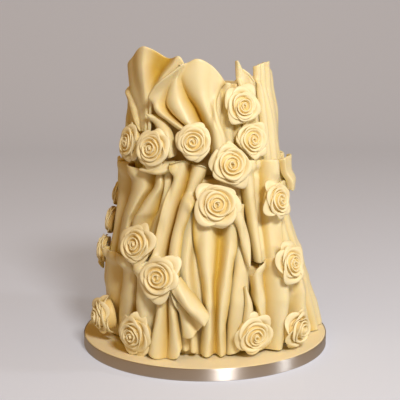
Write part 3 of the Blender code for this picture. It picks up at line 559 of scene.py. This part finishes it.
# ---------------------------------------------------------------- long sheets down the back and right
# The widest sheets, gathered evenly and hung from the middle tier's top to the board. The one
# on the right is pulled out at its foot and spreads towards the board's edge.
hang("drape_long_back_right", folded(
    ((91, 234), (92, 120), (94, 17)), ((158, 236), (160, 120), (159, 17)),
    (3, 4, 3, 5, 3, 4), (8, 9, 8, 9, 8, 8), (-1, 0, 6), (7, 0)), 1.5, 15)
hang("drape_long_back", folded(
    ((157, 238), (158, 120), (158, 17)), ((212, 234), (210, 120), (212, 17)),
    (4, 3, 5, 3, 4), (9, 8, 9, 8, 9), (0, 0, 3)), 1.5, 16)
hang("drape_long_back_left", folded(
    ((211, 236), (209, 120), (211, 17)), ((263, 235), (264, 120), (265, 17)),
    (3, 4, 3, 4, 4), (8, 9, 8, 8, 8), (0, 0, 2)), 1.5, 17)
hang("drape_long_right", (
    ((-9, -8, -8, -8, -8, -6), ((48, 205), (50, 150), (52, 110), (54, 75), (57, 45), (60, 17))),
    ((-3, -3, -2, 0, 2, 4), ((53, 206), (55, 150), (57, 110), (59, 75), (62, 45), (66, 17))),
    ((-8, -8, -7, -5, -1, 4), ((58, 206), (60, 150), (62, 110), (64, 75), (67, 45), (70, 17))),
    ((-3, -3, -2, 2, 9, 14), ((63, 207), (65, 150), (67, 110), (69, 75), (72, 45), (75, 17))),
    ((-8, -8, -7, -3, 7, 14), ((69, 207), (71, 150), (73, 110), (75, 75), (77, 45), (80, 17))),
    ((-3, -3, -1, 4, 15, 24), ((75, 208), (77, 150), (79, 110), (81, 75), (83, 45), (85, 17))),
    ((-8, -8, -6, 0, 12, 22), ((81, 208), (83, 150), (85, 110), (87, 75), (88, 45), (90, 17))),
    ((-3, -4, -2, 5, 18, 29), ((87, 208), (89, 150), (91, 110), (92, 75), (93, 45), (94, 17))),
    ((-7, -7, -5, 2, 14, 25), ((93, 207), (94, 150), (96, 110), (98, 75), (99, 45), (100, 17)))),
    0.8, 18, pinch=0.4)

# ---------------------------------------------------------------- sheets round the middle tier
# Sheets of the same chocolate hung from under the crown, their folds running together
# towards the foot. One narrow strip is pressed sideways under the roses as a swag.
hang("drape_middle_left", (
    ((-6, -6, -8), ((-98, 230), (-97, 206), (-96, 186), (-95, 167), (-94, 148), (-92, 118))),
    ((-1, -1, -1, -3), ((-93, 232), (-92, 206), (-92, 186), (-91, 167), (-91, 148), (-89, 118))),
    ((-8, -7, -8, -9), ((-86, 230), (-86, 206), (-87, 186), (-87, 167), (-87, 148), (-85, 118))),
    ((0, 0, 0, -3), ((-78, 231), (-78, 204), (-79, 186), (-80, 167), (-80, 148), (-79, 118))),
    ((-12, -12, -10, -8), ((-66, 231), (-65.5, 205), (-68, 187), (-71, 168), (-71.5, 149), (-70, 118))),
    ((6, 6, 5, -1), ((-45, 229), (-43, 210), (-45.5, 195), (-50, 179), (-54.5, 161), (-56, 118))),
    ((-8, -8, -7, -8), ((-36.5, 227), (-37.5, 210), (-44, 194), (-49, 177), (-53, 160), (-53, 118))),
    ((3, 6, 6, -2), ((-29.5, 227), (-29, 212), (-34, 198), (-39.5, 182), (-46, 164), (-48, 118))),
    ((-3, -8, -8, -9), ((-28.5, 227), (-28, 211), (-31, 196), (-33.5, 181), (-38, 164), (-42, 118))),
    ((0, 1, 0, -3), ((-26, 231), (-26, 213), (-27, 198), (-28, 184), (-30, 167), (-32, 118))),
    ((-9, -9, -9), ((-22, 236), (-23, 213), (-24, 197), (-25, 182), (-27, 166), (-28, 118)))), 0.6, 12)
hang("drape_swag", (
    ((-6, -2, -6), ((-45, 236), (-37.5, 239), (-31, 240), (-26, 240), (-21.5, 241))),
    ((2, 8, 3), ((-43.5, 234), (-36, 236), (-30, 236), (-25, 237), (-20.5, 239))),
    ((2, 8, 3), ((-41.5, 231), (-35, 231), (-29.5, 230), (-25, 231), (-20.5, 235))),
    ((-6, -3, -6), ((-41.5, 228), (-36, 226), (-30.5, 225), (-26, 226), (-21, 231)))), 0.0, 33, firm=2)
hang("drape_middle_right", (
    ((-7, -8, -8, -8), ((24.5, 240), (26, 212), (28.5, 178), (31, 124))),
    ((4, 4, 3, 0), ((29.5, 241), (30, 210), (31.5, 179), (33, 124))),
    ((-7, -8, -8, -8), ((37.5, 239), (37.5, 207), (37.5, 177), (36.5, 123))),
    ((-7, -8, -8, -8), ((43.5, 238), (43, 205), (42, 175), (39.5, 122))),
    ((3, 4, 3, 0), ((50, 238), (48.5, 206), (46.5, 176), (43.5, 121))),
    ((-6, -6, -7, -9), ((60, 236), (57.5, 204), (55, 173), (51.5, 120)))), 0.3, 13)
hang("drape_middle_tip", (
    ((-3, -5), ((66, 234), (73, 198))),
    ((5, 0), ((69, 236), (75, 196))),
    ((8, 0), ((84, 237), (83, 198))),
    ((3, -5), ((92, 235), (89, 198)))), 0.0, 14, firm=2)

# ---------------------------------------------------------------- sheets round the bottom tier
# Shorter sheets over the long ones: broad folds on the left, strips and rolled folds at the
# front and a bent panel on the right. They end as cut hems just on the board.
hang("drape_low_left", (
    ((-6, -6, -6), ((-97, 120), (-96, 80), (-96, 17))),
    ((0, 0, 0), ((-91, 121), (-90, 98), (-90, 73), (-91, 45), (-92, 17))),
    ((-7, -7, -6), ((-84, 122), (-83, 98), (-84, 73), (-86, 45), (-88, 17))),
    ((1, 1, 0), ((-74, 124), (-73, 98), (-74, 73), (-77, 45), (-80, 17))),
    ((-7, -7, -6), ((-59, 127), (-57, 101), (-58, 78), (-63, 50), (-68, 17))),
    ((4, 4, 1), ((-45, 129), (-43.5, 106), (-44, 86), (-48, 55), (-52, 18))),
    ((-8, -8, -7), ((-40.5, 125), (-39, 101), (-40, 82), (-43.5, 53), (-47, 17))),
    ((2, 2, 0), ((-33.5, 123), (-33, 102), (-33.5, 82), (-36, 53), (-40, 17))),
    ((-9, -9, -8), ((-31, 122), (-30.5, 91), (-31, 73), (-33, 48), (-36, 17)))), 0.5, 19)
hang("drape_low_left_strip", (
    ((-9, -9, -9), ((-40, 128), (-38, 80), (-39, 17))),
    ((-2, -2, -4), ((-32, 128), (-31, 80), (-33, 17))),
    ((-8, -8, -9), ((-25, 126), (-24, 80), (-26, 17)))), 0.5, 20)
hang("drape_low_right_folds", (
    ((-7, -7, -7), ((41, 112), (41, 80), (40, 50), (39, 17))),
    ((1, 1, 0), ((48, 112), (48, 80), (47, 50), (46, 17))),
    ((-5, -5, -4), ((55, 112), (55, 80), (54, 50), (53, 17))),
    ((1, 2, 3), ((60, 112), (61, 80), (60, 50), (60, 17))),
    ((-6, -5, -2), ((66, 112), (67, 80), (67, 50), (67, 17)))), 0.5, 21)
hang("drape_centre_strip", (
    ((-7, -7), ((-15, 198), (-16, 178), (-18, 152), (-18, 130), (-16, 108), (-12, 84))),
    ((3, 3), ((-6, 198), (-7, 178), (-9, 152), (-10, 130), (-9, 106), (-6, 82))),
    ((-8, -8), ((-3, 197), (-4, 178), (-5, 152), (-6, 130), (-5, 106), (-3, 80))),
    ((-9, -9), ((2, 197), (2, 178), (1, 152), (1, 130), (2, 106), (3, 80)))), 0.0, 22, pinch=0)
hang("drape_centre_panel", (
    ((-8, -8), ((18, 190), (18, 130), (14, 85), (12, 18))),
    ((-3, -2, 0), ((22, 190), (22, 130), (19, 85), (17, 20))),
    ((-7, -7), ((27, 190), (27, 130), (25, 80), (22, 24)))), 0.5, 23)
hang("drape_centre", (
    ((-7, -8, -8), ((-7, 192), (-7, 168), (-6, 146), (-4, 127), (-2, 104), (-1, 78), (-2, 50),
                    (-3, 20))),
    ((5, 6, 5, 2), ((1, 193), (1, 168), (1, 147), (1, 128), (2, 104), (2, 78), (2, 50), (1, 18))),
    ((-9, -9, -9), ((10, 191), (10, 166), (9, 144), (8, 126), (6, 102), (6, 76), (6, 49), (6, 19))),
    ((5, 6, 5, 2), ((15, 192), (15, 167), (14, 147), (12, 128), (10, 104), (8, 77), (8, 48),
                    (9, 18))),
    ((-8, -8, -8), ((20, 190), (20, 165), (19, 142), (17, 126), (15, 104), (13, 78), (12, 50),
                    (12, 20)))), 0.5, 24,
    pinch=0.15)
hang("drape_middle_front", (
    ((-5, -5), ((-20, 240), (-22, 215), (-25, 195), (-27, 178), (-29, 155), (-29, 118))),
    ((6, 6), ((-13, 242), (-18, 215), (-21, 193), (-23, 170), (-25, 147), (-25, 118))),
    ((-9, -9), ((-10, 238), (-13, 213), (-17, 191), (-20, 168), (-22, 145), (-23, 118))),
    ((6, 6), ((-3, 237), (-8, 215), (-11, 199), (-14, 181), (-17, 159), (-18, 116))),
    ((-6, -6), ((2, 232), (-3, 212), (-6, 195), (-9, 178), (-12, 158), (-13, 112)))), 0.4, 25)
hang("drape_middle_leaf", (
    ((-2, -2), ((9, 198), (13, 184), (17, 171), (19, 157), (21, 142), (23, 124))),
    ((5, 4), ((14, 199), (18, 185), (21, 172), (23, 157), (24, 142), (24, 123))),
    ((-4, -4), ((19, 198), (22, 184), (25, 171), (27, 156), (27, 141), (25, 124)))), 0.0, 26)
hang("drape_fan_tail", (
    ((-6, -5), ((-16, 66), (-14, 26))),
    ((-2, 0), ((-13, 66), (-11, 24))),
    ((-7, -6), ((-10, 66), (-9, 24))),
    ((-2, 0), ((-7, 66), (-7, 22))),
    ((-6, -5), ((-5, 66), (-4, 22)))), 0.0, 27)
hang("drape_fan", (
    ((-3, -2, 0, 4), ((-26, 100), (-25, 86), (-26, 68), (-28, 46), (-31, 23))),
    ((5, 8, 12, 17), ((-23, 102), (-22, 86), (-23, 68), (-25, 44), (-26, 17.5))),
    ((-5, -5, -1, 8), ((-21, 101), (-20, 86), (-20, 68), (-20, 42), (-20.5, 16.8))),
    ((5, 8, 12, 15), ((-18, 102), (-17, 87), (-16, 69), (-15, 46), (-14, 20))),
    ((-3, -2, 1, 5), ((-17, 101), (-15, 85), (-14, 66), (-13, 47), (-12, 29)))), 0.0, 28)
hang("drape_fan_flare", (
    ((-3, -2, 2), ((-18, 102), (-15, 86), (-13, 68), (-12, 44))),
    ((5, 8, 12), ((-16, 104), (-14, 88), (-11, 72), (-7, 45))),
    ((1, 2, 5), ((-14, 103), (-11, 86), (-8, 71), (-4, 52))),
    ((4, 7, 10), ((-12, 104), (-8, 88), (-4, 75), (-1, 62)))), 0.0, 29)
hang("drape_fan_end", (
    ((-2, 0, 3), ((-15, 98), (-12, 86), (-8, 75), (-4, 65), (-1, 60))),
    ((6, 9, 12), ((-14, 108), (-10, 98), (-6, 87), (-2, 76), (1, 67))),
    ((-3, -1, 3), ((-12, 114), (-9, 105), (-5, 94), (-1, 83), (2, 74)))), 0.0, 30)
hang("drape_low_right_chip", (
    ((-3, -4), ((21, 100), (21, 80), (20, 58))),
    ((1, 3), ((21.5, 100), (23, 80), (24, 57))),
    ((-3, -4), ((22, 100), (26, 80), (29, 56)))), 0.0, 31)
hang("drape_low_right", (
    ((-8, -8, -8, -8), ((25, 111), (26, 98), (27, 82), (29, 58), (30, 22))),
    ((5, 5, 4, 2), ((28, 121), (28.5, 101), (29.5, 82), (31, 58), (32, 20))),
    ((-5, -6, -5, -3), ((35, 127), (35, 101), (35.5, 80), (36.5, 54), (38, 19))),
    ((5, 5, 4, 2), ((41, 129), (40.5, 102), (40.5, 80), (41, 54), (42, 18))),
    ((-6, -6, -6, -6), ((44, 124), (47, 102), (47, 80), (47, 52), (46, 18)))), 0.3, 32, firm=2)

# ---------------------------------------------------------------- the roses
# Roses modelled by hand: petals of rolled chocolate wrapped round a cone, tight at the bud and
# curled back at the rim. Each is stuck on where sheets meet, pressed into the folds under it.
ROSE_GAP = 0.8
ROSE_PETALS = 17
PETAL_THICKNESS = 0.0013
PETAL_REACH = 1.08
GOLDEN_TURN = 2.39996
CONE_SPREAD = 0.74
CONE_HEIGHT = 0.76
# How much of the painted shade colour the cone under the petals gets.
CONE_SHADE = 0.6
BACK_ON_FOLDS = 0.8  # the share of the folds under a rose that its back clears
FREE_SHARE = 0.55  # the share of the way to a neighbour that petals reach before they are pressed

# Angle round the cake, height of the centre, diameter, turn about its own axis, and depth.
ROSES = (
    (27.5, 301, 48, 10, 15), (33, 263, 45, 50, 14), (16, 237, 53, 25, 17), (6.5, 193, 54, 0, 17),
    (-7, 262, 43, 40, 14), (-33, 253, 46, 15, 15), (-59, 256, 43, 60, 13), (-37.5, 142, 49, 30, 16),
    (-22, 111, 50, 5, 16), (-37, 42, 50, 20, 19), (-68, 47, 46, 45, 26), (26, 43, 49, 55, 17),
    (51, 43, 45, 10, 24), (46, 118, 47, 35, 16), (46, 191, 44, 65, 16), (-100, 149, 42, 20, 13),
    (-104, 183, 38, 50, 11), (-97, 113, 43, 0, 14),
    (118, 44, 46, 30, 15), (152, 128, 44, 0, 14), (181, 236, 46, 40, 15), (214, 44, 46, 15, 15),
    (236, 132, 42, 60, 14),
)
# The rose's fold colour is painted shade, deepest at the petals' feet and on the cone between them.
petal_chocolate = chocolate("rose_chocolate", crest=(0.96, 0.87, 0.56), fold=(0.82, 0.58, 0.14),
                            roughness=0.42, mottle_scale=60, bump=0.1, waxiness=0.1)


class Field:
    """A number that varies over the mesh, so that chains of math nodes read as sums."""

    def __init__(self, tree, socket):
        self.tree, self.socket = tree, socket

    def work(self, operation, *others):
        inputs = {place: value.socket if isinstance(value, Field) else value
                  for place, value in enumerate((self,) + others)}
        return Field(self.tree, add_node(self.tree, "ShaderNodeMath", inputs, operation=operation).outputs[0])

    __add__ = partialmethod(work, "ADD")
    __sub__ = partialmethod(work, "SUBTRACT")
    __mul__ = partialmethod(work, "MULTIPLY")
    __truediv__ = partialmethod(work, "DIVIDE")
    __pow__ = partialmethod(work, "POWER")

    def less_from(self, number):
        """This taken from a number."""
        return self * -1 + number

    def between(self, low, high):
        """This share of the way from low to high."""
        return self * (high - low) + low


def rose_tree():
    """Petals set out by the golden turn, 137.5 degrees each, every one a strip folded over its rim,
    round the cone that they are pressed on to."""
    tree = bpy.data.node_groups.new("rose_petals", "GeometryNodeTree")
    add_sockets(tree, "OUTPUT", (("Rose", "Geometry"),))
    add_sockets(tree, "INPUT", (
        ("Petals", "Int", 14), ("Spread", "Float", 0.022), ("Depth", "Float", 0.014),
        ("Thickness", "Float", 0.0012), ("Seed", "Int", 1), ("Chocolate", "Material")))
    add = partial(add_node, tree)
    given = add("NodeGroupInput").outputs

    def keep(name, geometry, value, domain="POINT"):
        """Stores a number on the mesh under a name, and gives the mesh that carries it."""
        return add("GeometryNodeStoreNamedAttribute", {"Name": name, "Geometry": geometry, "Value": value},
                   data_type="FLOAT", domain=domain).outputs["Geometry"]

    def kept(name):
        """The number stored under a name."""
        return add("GeometryNodeInputNamedAttribute", {"Name": name}, data_type="FLOAT").outputs[0]

    def moved(geometry, place):
        """The mesh with its points put at a place."""
        return add("GeometryNodeSetPosition", {"Geometry": geometry, "Position": place}).outputs["Geometry"]

    def point_at(*parts):
        return add("ShaderNodeCombineXYZ", {axis: part.socket for axis, part in enumerate(parts)}).outputs[0]

    def position():
        """Where each point lies before it is moved, as three numbers."""
        place = add("GeometryNodeInputPosition").outputs[0]
        return [Field(tree, socket) for socket in add("ShaderNodeSeparateXYZ", {0: place}).outputs]

    line = add("GeometryNodeMeshLine", {"Count": given["Petals"], "Offset": (0, 0, 0)})
    strip = add("GeometryNodeMeshGrid", {"Size X": 2, "Size Y": 2, "Vertices X": 17, "Vertices Y": 27})
    placed = add("GeometryNodeInstanceOnPoints", {
        "Points": line.outputs["Mesh"], "Instance": strip.outputs["Mesh"]})
    index = add("GeometryNodeInputIndex").outputs[0]
    counted = keep("petal", placed.outputs["Instances"], index, "INSTANCE")
    real = add("GeometryNodeRealizeInstances", {"Geometry": counted})

    petal = Field(tree, kept("petal"))
    across, folded_over, _ = position()
    petals, spread, deep = (Field(tree, given[name]) for name in ("Petals", "Spread", "Depth"))

    def drawn(low, high, shift):
        """A value drawn for each petal."""
        whole = petal.work("FLOOR") + shift
        dice = add("FunctionNodeRandomValue", {2: low, 3: high, "ID": whole.socket, "Seed": given["Seed"]})
        return Field(tree, dice.outputs[1])

    # opened goes from 0 at the bud to 1 at the outermost petal, up from 0 at a foot to 1 at a rim.
    opened = petal / (petals - 1)
    from_middle = across.work("ABSOLUTE")
    from_rim = folded_over.work("ABSOLUTE") ** 1.5
    outline = (from_middle ** 2.4).work("MULTIPLY", 0.42).less_from(1)
    up = from_rim.less_from(1) * outline
    # The more opened a petal is, the farther out and lower its rim lies, and the more it curls.
    rim_radius = spread * (((opened.less_from(1)) ** 1.5).less_from(1) * 0.90 + 0.09) * drawn(0.90, 1.08, 100)
    foot_radius = rim_radius * opened.between(0.72, 0.5)
    rim_height = deep * (opened ** 1.5).less_from(0).work("MULTIPLY_ADD", 0.62, 1.0) * drawn(0.95, 1.04, 200)
    flare = up ** opened.between(0.55, 1.7)
    rolled = ((up - 0.7) / 0.3).work("MAXIMUM", 0.0) ** 2.0
    closing = (up ** 2.0) * (opened.less_from(1) ** 3.0) * spread * 0.045
    radius = foot_radius + (rim_radius - foot_radius) * flare - closing + rolled * opened * spread * 0.07
    radius = radius * (across * 0.09 + 1) * ((from_middle ** 2.0) * opened * 0.12).less_from(1)
    # Each rim waves in and out and up and down in its own way.
    wave = (across * 5.2 + drawn(0.0, 6.2, 300)).work("SINE") * up * opened
    radius = radius * (wave * 0.07 + 1)
    ruffle = (across * 4.2 + drawn(0.0, 6.2, 500)).work("SINE") * up * opened * deep * 0.13
    risen = up.less_from(1) ** opened.between(1.2, 2.3)
    sunk = risen * opened.between(0.45, 1.0)
    height = rim_height * sunk.less_from(1) - rolled * opened * deep * 0.22 + ruffle
    angle = petal * GOLDEN_TURN + across * opened.between(2.1, 0.92) + drawn(-0.12, 0.12, 400)

    # A petal gets painted shade, deepest at its foot down among the other petals, and is thinnest along its
    # edges.
    depth = (up.less_from(1) ** 1.6 * 0.9).socket
    edge = (from_middle ** 6.0).less_from(1).work("MAXIMUM", 0.0) ** 0.5
    rim = (folded_over.work("ABSOLUTE") / 0.16).work("MINIMUM", 1.0)
    foot = (folded_over.work("ABSOLUTE").less_from(1) / 0.1).work("MINIMUM", 1.0)
    fullness = edge * (rim ** 0.5) * foot * Field(tree, given["Thickness"]) * 0.5
    marked = keep("fullness", keep("fold_depth", real.outputs["Geometry"], depth), fullness.socket)
    bent = moved(marked, point_at(radius * angle.work("COSINE"), radius * angle.work("SINE"), height))
    facing = add("GeometryNodeInputNormal").outputs[0]
    outward = add("ShaderNodeVectorMath", {0: facing, "Scale": kept("fullness")}, operation="SCALE")
    thicken = add("GeometryNodeSetPosition", {"Geometry": bent, "Offset": outward.outputs[0]})

    cone = add("GeometryNodeMeshUVSphere", {"Segments": 32, "Rings": 16})
    cone_x, cone_y, cone_z = position()
    cone_place = point_at(cone_x * spread * CONE_SPREAD, cone_y * spread * CONE_SPREAD,
                          cone_z.work("MAXIMUM", 0.0) * deep * CONE_HEIGHT)
    # The cone is painted partly in the shade colour, as the shaded gaps between petals.
    cone_in_painted_shade = keep("fold_depth", moved(cone.outputs["Mesh"], cone_place), CONE_SHADE)
    together = add("GeometryNodeJoinGeometry", {"Geometry": thicken.outputs["Geometry"]})
    feed(tree, together, {"Geometry": cone_in_painted_shade})
    joined = add("GeometryNodeMergeByDistance", {
        "Geometry": together.outputs["Geometry"], "Distance": 0.00002})
    soft = add("GeometryNodeSetShadeSmooth", {0: joined.outputs["Geometry"]})
    whole = add("GeometryNodeRealizeInstances", {"Geometry": soft.outputs[0]})
    coated = add("GeometryNodeSetMaterial", {
        "Geometry": whole.outputs["Geometry"], "Material": given["Chocolate"]})
    add("NodeGroupOutput", {"Rose": coated.outputs["Geometry"]})
    return tree


def rose_frame(angle, height):
    """The rose's own axes: across, up the cake, and out of it."""
    turn = math.radians(angle)
    tilt = math.atan((skirt_radius(angle, height - 20) - skirt_radius(angle, height + 20)) / 40)
    out = np.array((math.sin(turn) * math.cos(tilt), -math.cos(turn) * math.cos(tilt), math.sin(tilt)))
    side = np.array((math.cos(turn), math.sin(turn), 0))
    return side, np.cross(out, side), out


def rose_seat(angle, height, size):
    """Where the back of a rose sits: pressed on to the higher folds under it."""
    side, up, out = rose_frame(angle, height)
    anchor = round_point(angle, height, skirt_radius(angle, height))
    column, row = np.meshgrid(np.arange(720), np.arange(SURFACE_TOP), indexing="ij")
    under = round_point(column / 2, row + 0.5, laid.radius) - anchor
    near = (np.hypot(under @ side, under @ up) < 0.46 * size) & (under @ out > -20)
    return anchor + out * (np.quantile(under[near] @ out, BACK_ON_FOLDS) + ROSE_GAP)


petal_tree = rose_tree()
rose_seats = [rose_seat(angle, height, size) for angle, height, size, _, _ in ROSES]
for index, (angle, height, size, turned_by, deep) in enumerate(ROSES):
    name = f"rose_{index + 1:02d}"
    body = add_object(name + "_flower", bpy.data.meshes.new(name + "_flower"))
    build = body.modifiers.new("petals", "NODES")
    build.node_group = petal_tree
    wanted = {"Petals": ROSE_PETALS, "Spread": PETAL_REACH * size / 2000, "Depth": deep / 1000,
              "Thickness": PETAL_THICKNESS, "Seed": index * 7 + 3, "Chocolate": petal_chocolate}
    for socket in petal_tree.interface.items_tree:
        if socket.in_out == "INPUT":
            build[socket.identifier] = wanted[socket.name]
    ready = body.evaluated_get(bpy.context.evaluated_depsgraph_get())
    flower = bpy.data.meshes.new_from_object(ready)
    body.modifiers.remove(build)
    body.data = flower
    side, up, out = rose_frame(angle, height)
    spin = math.radians(turned_by)
    points = np.zeros(len(flower.vertices) * 3)
    flower.vertices.foreach_get("co", points)
    points = points.reshape(-1, 3) * 1000
    seat = rose_seats[index]
    spun = np.stack([points[:, 0] * math.cos(spin) - points[:, 1] * math.sin(spin),
                     points[:, 0] * math.sin(spin) + points[:, 1] * math.cos(spin)], axis=-1)
    for other, place in enumerate(rose_seats):
        away = place - seat
        distance = np.linalg.norm(away)
        if other == index or distance > (size + ROSES[other][2]) / 2:
            continue
        toward = np.array((away @ side, away @ up)) / distance
        limit = distance * size / (size + ROSES[other][2]) / max(np.hypot(*toward), 0.2) - 0.3
        toward /= np.hypot(*toward)
        along = spun @ toward
        knee = FREE_SHARE * limit
        past = np.maximum(along - knee, 0)
        pressed = (limit - knee) * np.tanh(past / (limit - knee))
        spun += (pressed - past)[:, None] * toward
    placed = seat + spun[:, :1] * side + spun[:, 1:] * up + points[:, 2:] * out
    flower.vertices.foreach_set("co", (placed / 1000).astype(np.float32).reshape(-1))
    flower.update()
    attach(body, "root")
    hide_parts(name)

# ---------------------------------------------------------------- the iced board
# A 12 inch cake drum covered in icing rolled out thin. The icing runs to the edge, where it
# was smoothed over with a palm, and the drum's foil shows only underneath.
DRUM_RADIUS = 151.6
DRUM_HEIGHT = 11.7
ICING_HEIGHT = 15.0
BOARD_SIDES = 256
icing = chocolate("board_icing", crest=(0.92, 0.81, 0.54), fold=(0.80, 0.60, 0.2),
                  roughness=0.5, mottle_scale=18, bump=0.3, waxiness=0.3)
icing_outline = rounded(DRUM_RADIUS, DRUM_HEIGHT + 0.3, ICING_HEIGHT, bottom_edge=0.3, top_edge=1.8)
icing_sheet = turned("board_icing_sheet", icing_outline, icing, BOARD_SIDES)
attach(icing_sheet, "root")
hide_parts("board_icing")

FOIL_CRINKLE_SCALE = 260


def patterned(tree, shader, pattern, roughness, bump):
    """Varies a finish's roughness between two values, and raises its surface, by one pattern."""
    spread = add_node(tree, "ShaderNodeMapRange", {
        "Value": pattern, "To Min": roughness[0], "To Max": roughness[1]})
    raised = add_node(tree, "ShaderNodeBump", {"Strength": bump, "Distance": 0.0002, "Height": pattern})
    feed(tree, shader, {"Roughness": spread.outputs[0], "Normal": raised.outputs["Normal"]})


foil, foil_tree, foil_shader = new_finish("board_foil")
feed(foil_tree, foil_shader, {"Base Color": (0.62, 0.62, 0.60, 1), "Metallic": 0.9})
foil_place = add_node(foil_tree, "ShaderNodeTexCoord").outputs["Object"]
foil_crinkles = add_node(foil_tree, "ShaderNodeTexVoronoi", {
    "Vector": foil_place, "Scale": FOIL_CRINKLE_SCALE})
patterned(foil_tree, foil_shader, foil_crinkles.outputs["Distance"], roughness=(0.28, 0.42), bump=0.4)
drum_outline = rounded(DRUM_RADIUS, 0, DRUM_HEIGHT, bottom_edge=0.6, top_edge=0.6)
drum = turned("board_drum", drum_outline, foil, BOARD_SIDES)
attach(drum, "root")
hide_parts("board")

# ---------------------------------------------------------------- the ribbon
# Silver grey satin ribbon, 14.4 mm wide, glued round the drum's edge as one closed band. Its
# fine threads run round the board and spread the light sideways.
RIBBON_RADIUS = 152.5
RIBBON_HEIGHT = 14.6
RIBBON_FOOT = 0.2
RIBBON_BACK = DRUM_RADIUS + 0.35
RIBBON_EDGE = 0.5
RIBBON_SIDES = 360
THREADS = (60, 90, 1)
satin, satin_tree, satin_shader = new_finish("satin_ribbon")
feed(satin_tree, satin_shader, {"Base Color": (0.76, 0.72, 0.68, 1), "Metallic": 1.0,
                                "Anisotropic": 1.0, "Anisotropic Rotation": 0.25})
satin_place = add_node(satin_tree, "ShaderNodeUVMap", uv_map="UVMap").outputs[0]
thread_place = add_node(satin_tree, "ShaderNodeMapping", {"Vector": satin_place, "Scale": THREADS}).outputs[0]
threads = add_node(satin_tree, "ShaderNodeTexNoise", {"Vector": thread_place, "Scale": 1.0, "Detail": 4})
patterned(satin_tree, satin_shader, threads.outputs["Fac"], roughness=(0.38, 0.50), bump=0.15)

profile = [(RIBBON_RADIUS - 0.15, RIBBON_FOOT), (RIBBON_RADIUS, RIBBON_FOOT + RIBBON_EDGE)]
straight = RIBBON_HEIGHT - RIBBON_FOOT - 2 * RIBBON_EDGE
profile += [(RIBBON_RADIUS, RIBBON_FOOT + RIBBON_EDGE + straight * share) for share in (0.25, 0.5, 0.75, 1.0)]
profile += [(RIBBON_RADIUS - 0.15, RIBBON_HEIGHT), (RIBBON_BACK, RIBBON_HEIGHT), (RIBBON_BACK, RIBBON_FOOT)]
band_points, band_faces, band_uv = [], [], []
for radius, height in profile:
    for turn in 2 * math.pi * np.arange(RIBBON_SIDES) / RIBBON_SIDES:
        band_points.append((radius * math.cos(turn) / 1000, radius * math.sin(turn) / 1000, height / 1000))
for ring in range(len(profile)):
    low, high = ring * RIBBON_SIDES, (ring + 1) % len(profile) * RIBBON_SIDES
    foot, head = ring / len(profile), (ring + 1) / len(profile)
    for step in range(RIBBON_SIDES):
        after = (step + 1) % RIBBON_SIDES
        band_faces.append((low + step, low + after, high + after, high + step))
        start, end = step / RIBBON_SIDES, (step + 1) / RIBBON_SIDES
        band_uv += [(start, foot), (end, foot), (end, head), (start, head)]
band_mesh = bpy.data.meshes.new("ribbon_band")
band_mesh.from_pydata(band_points, [], band_faces)
band_layer = band_mesh.uv_layers.new(name="UVMap")
for corner, uv in zip(band_layer.data, band_uv):
    corner.uv = uv
band_mesh.shade_smooth()
band_mesh.materials.append(satin)
band = add_object("ribbon_band", band_mesh)
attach(band, "root")
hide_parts("ribbon")
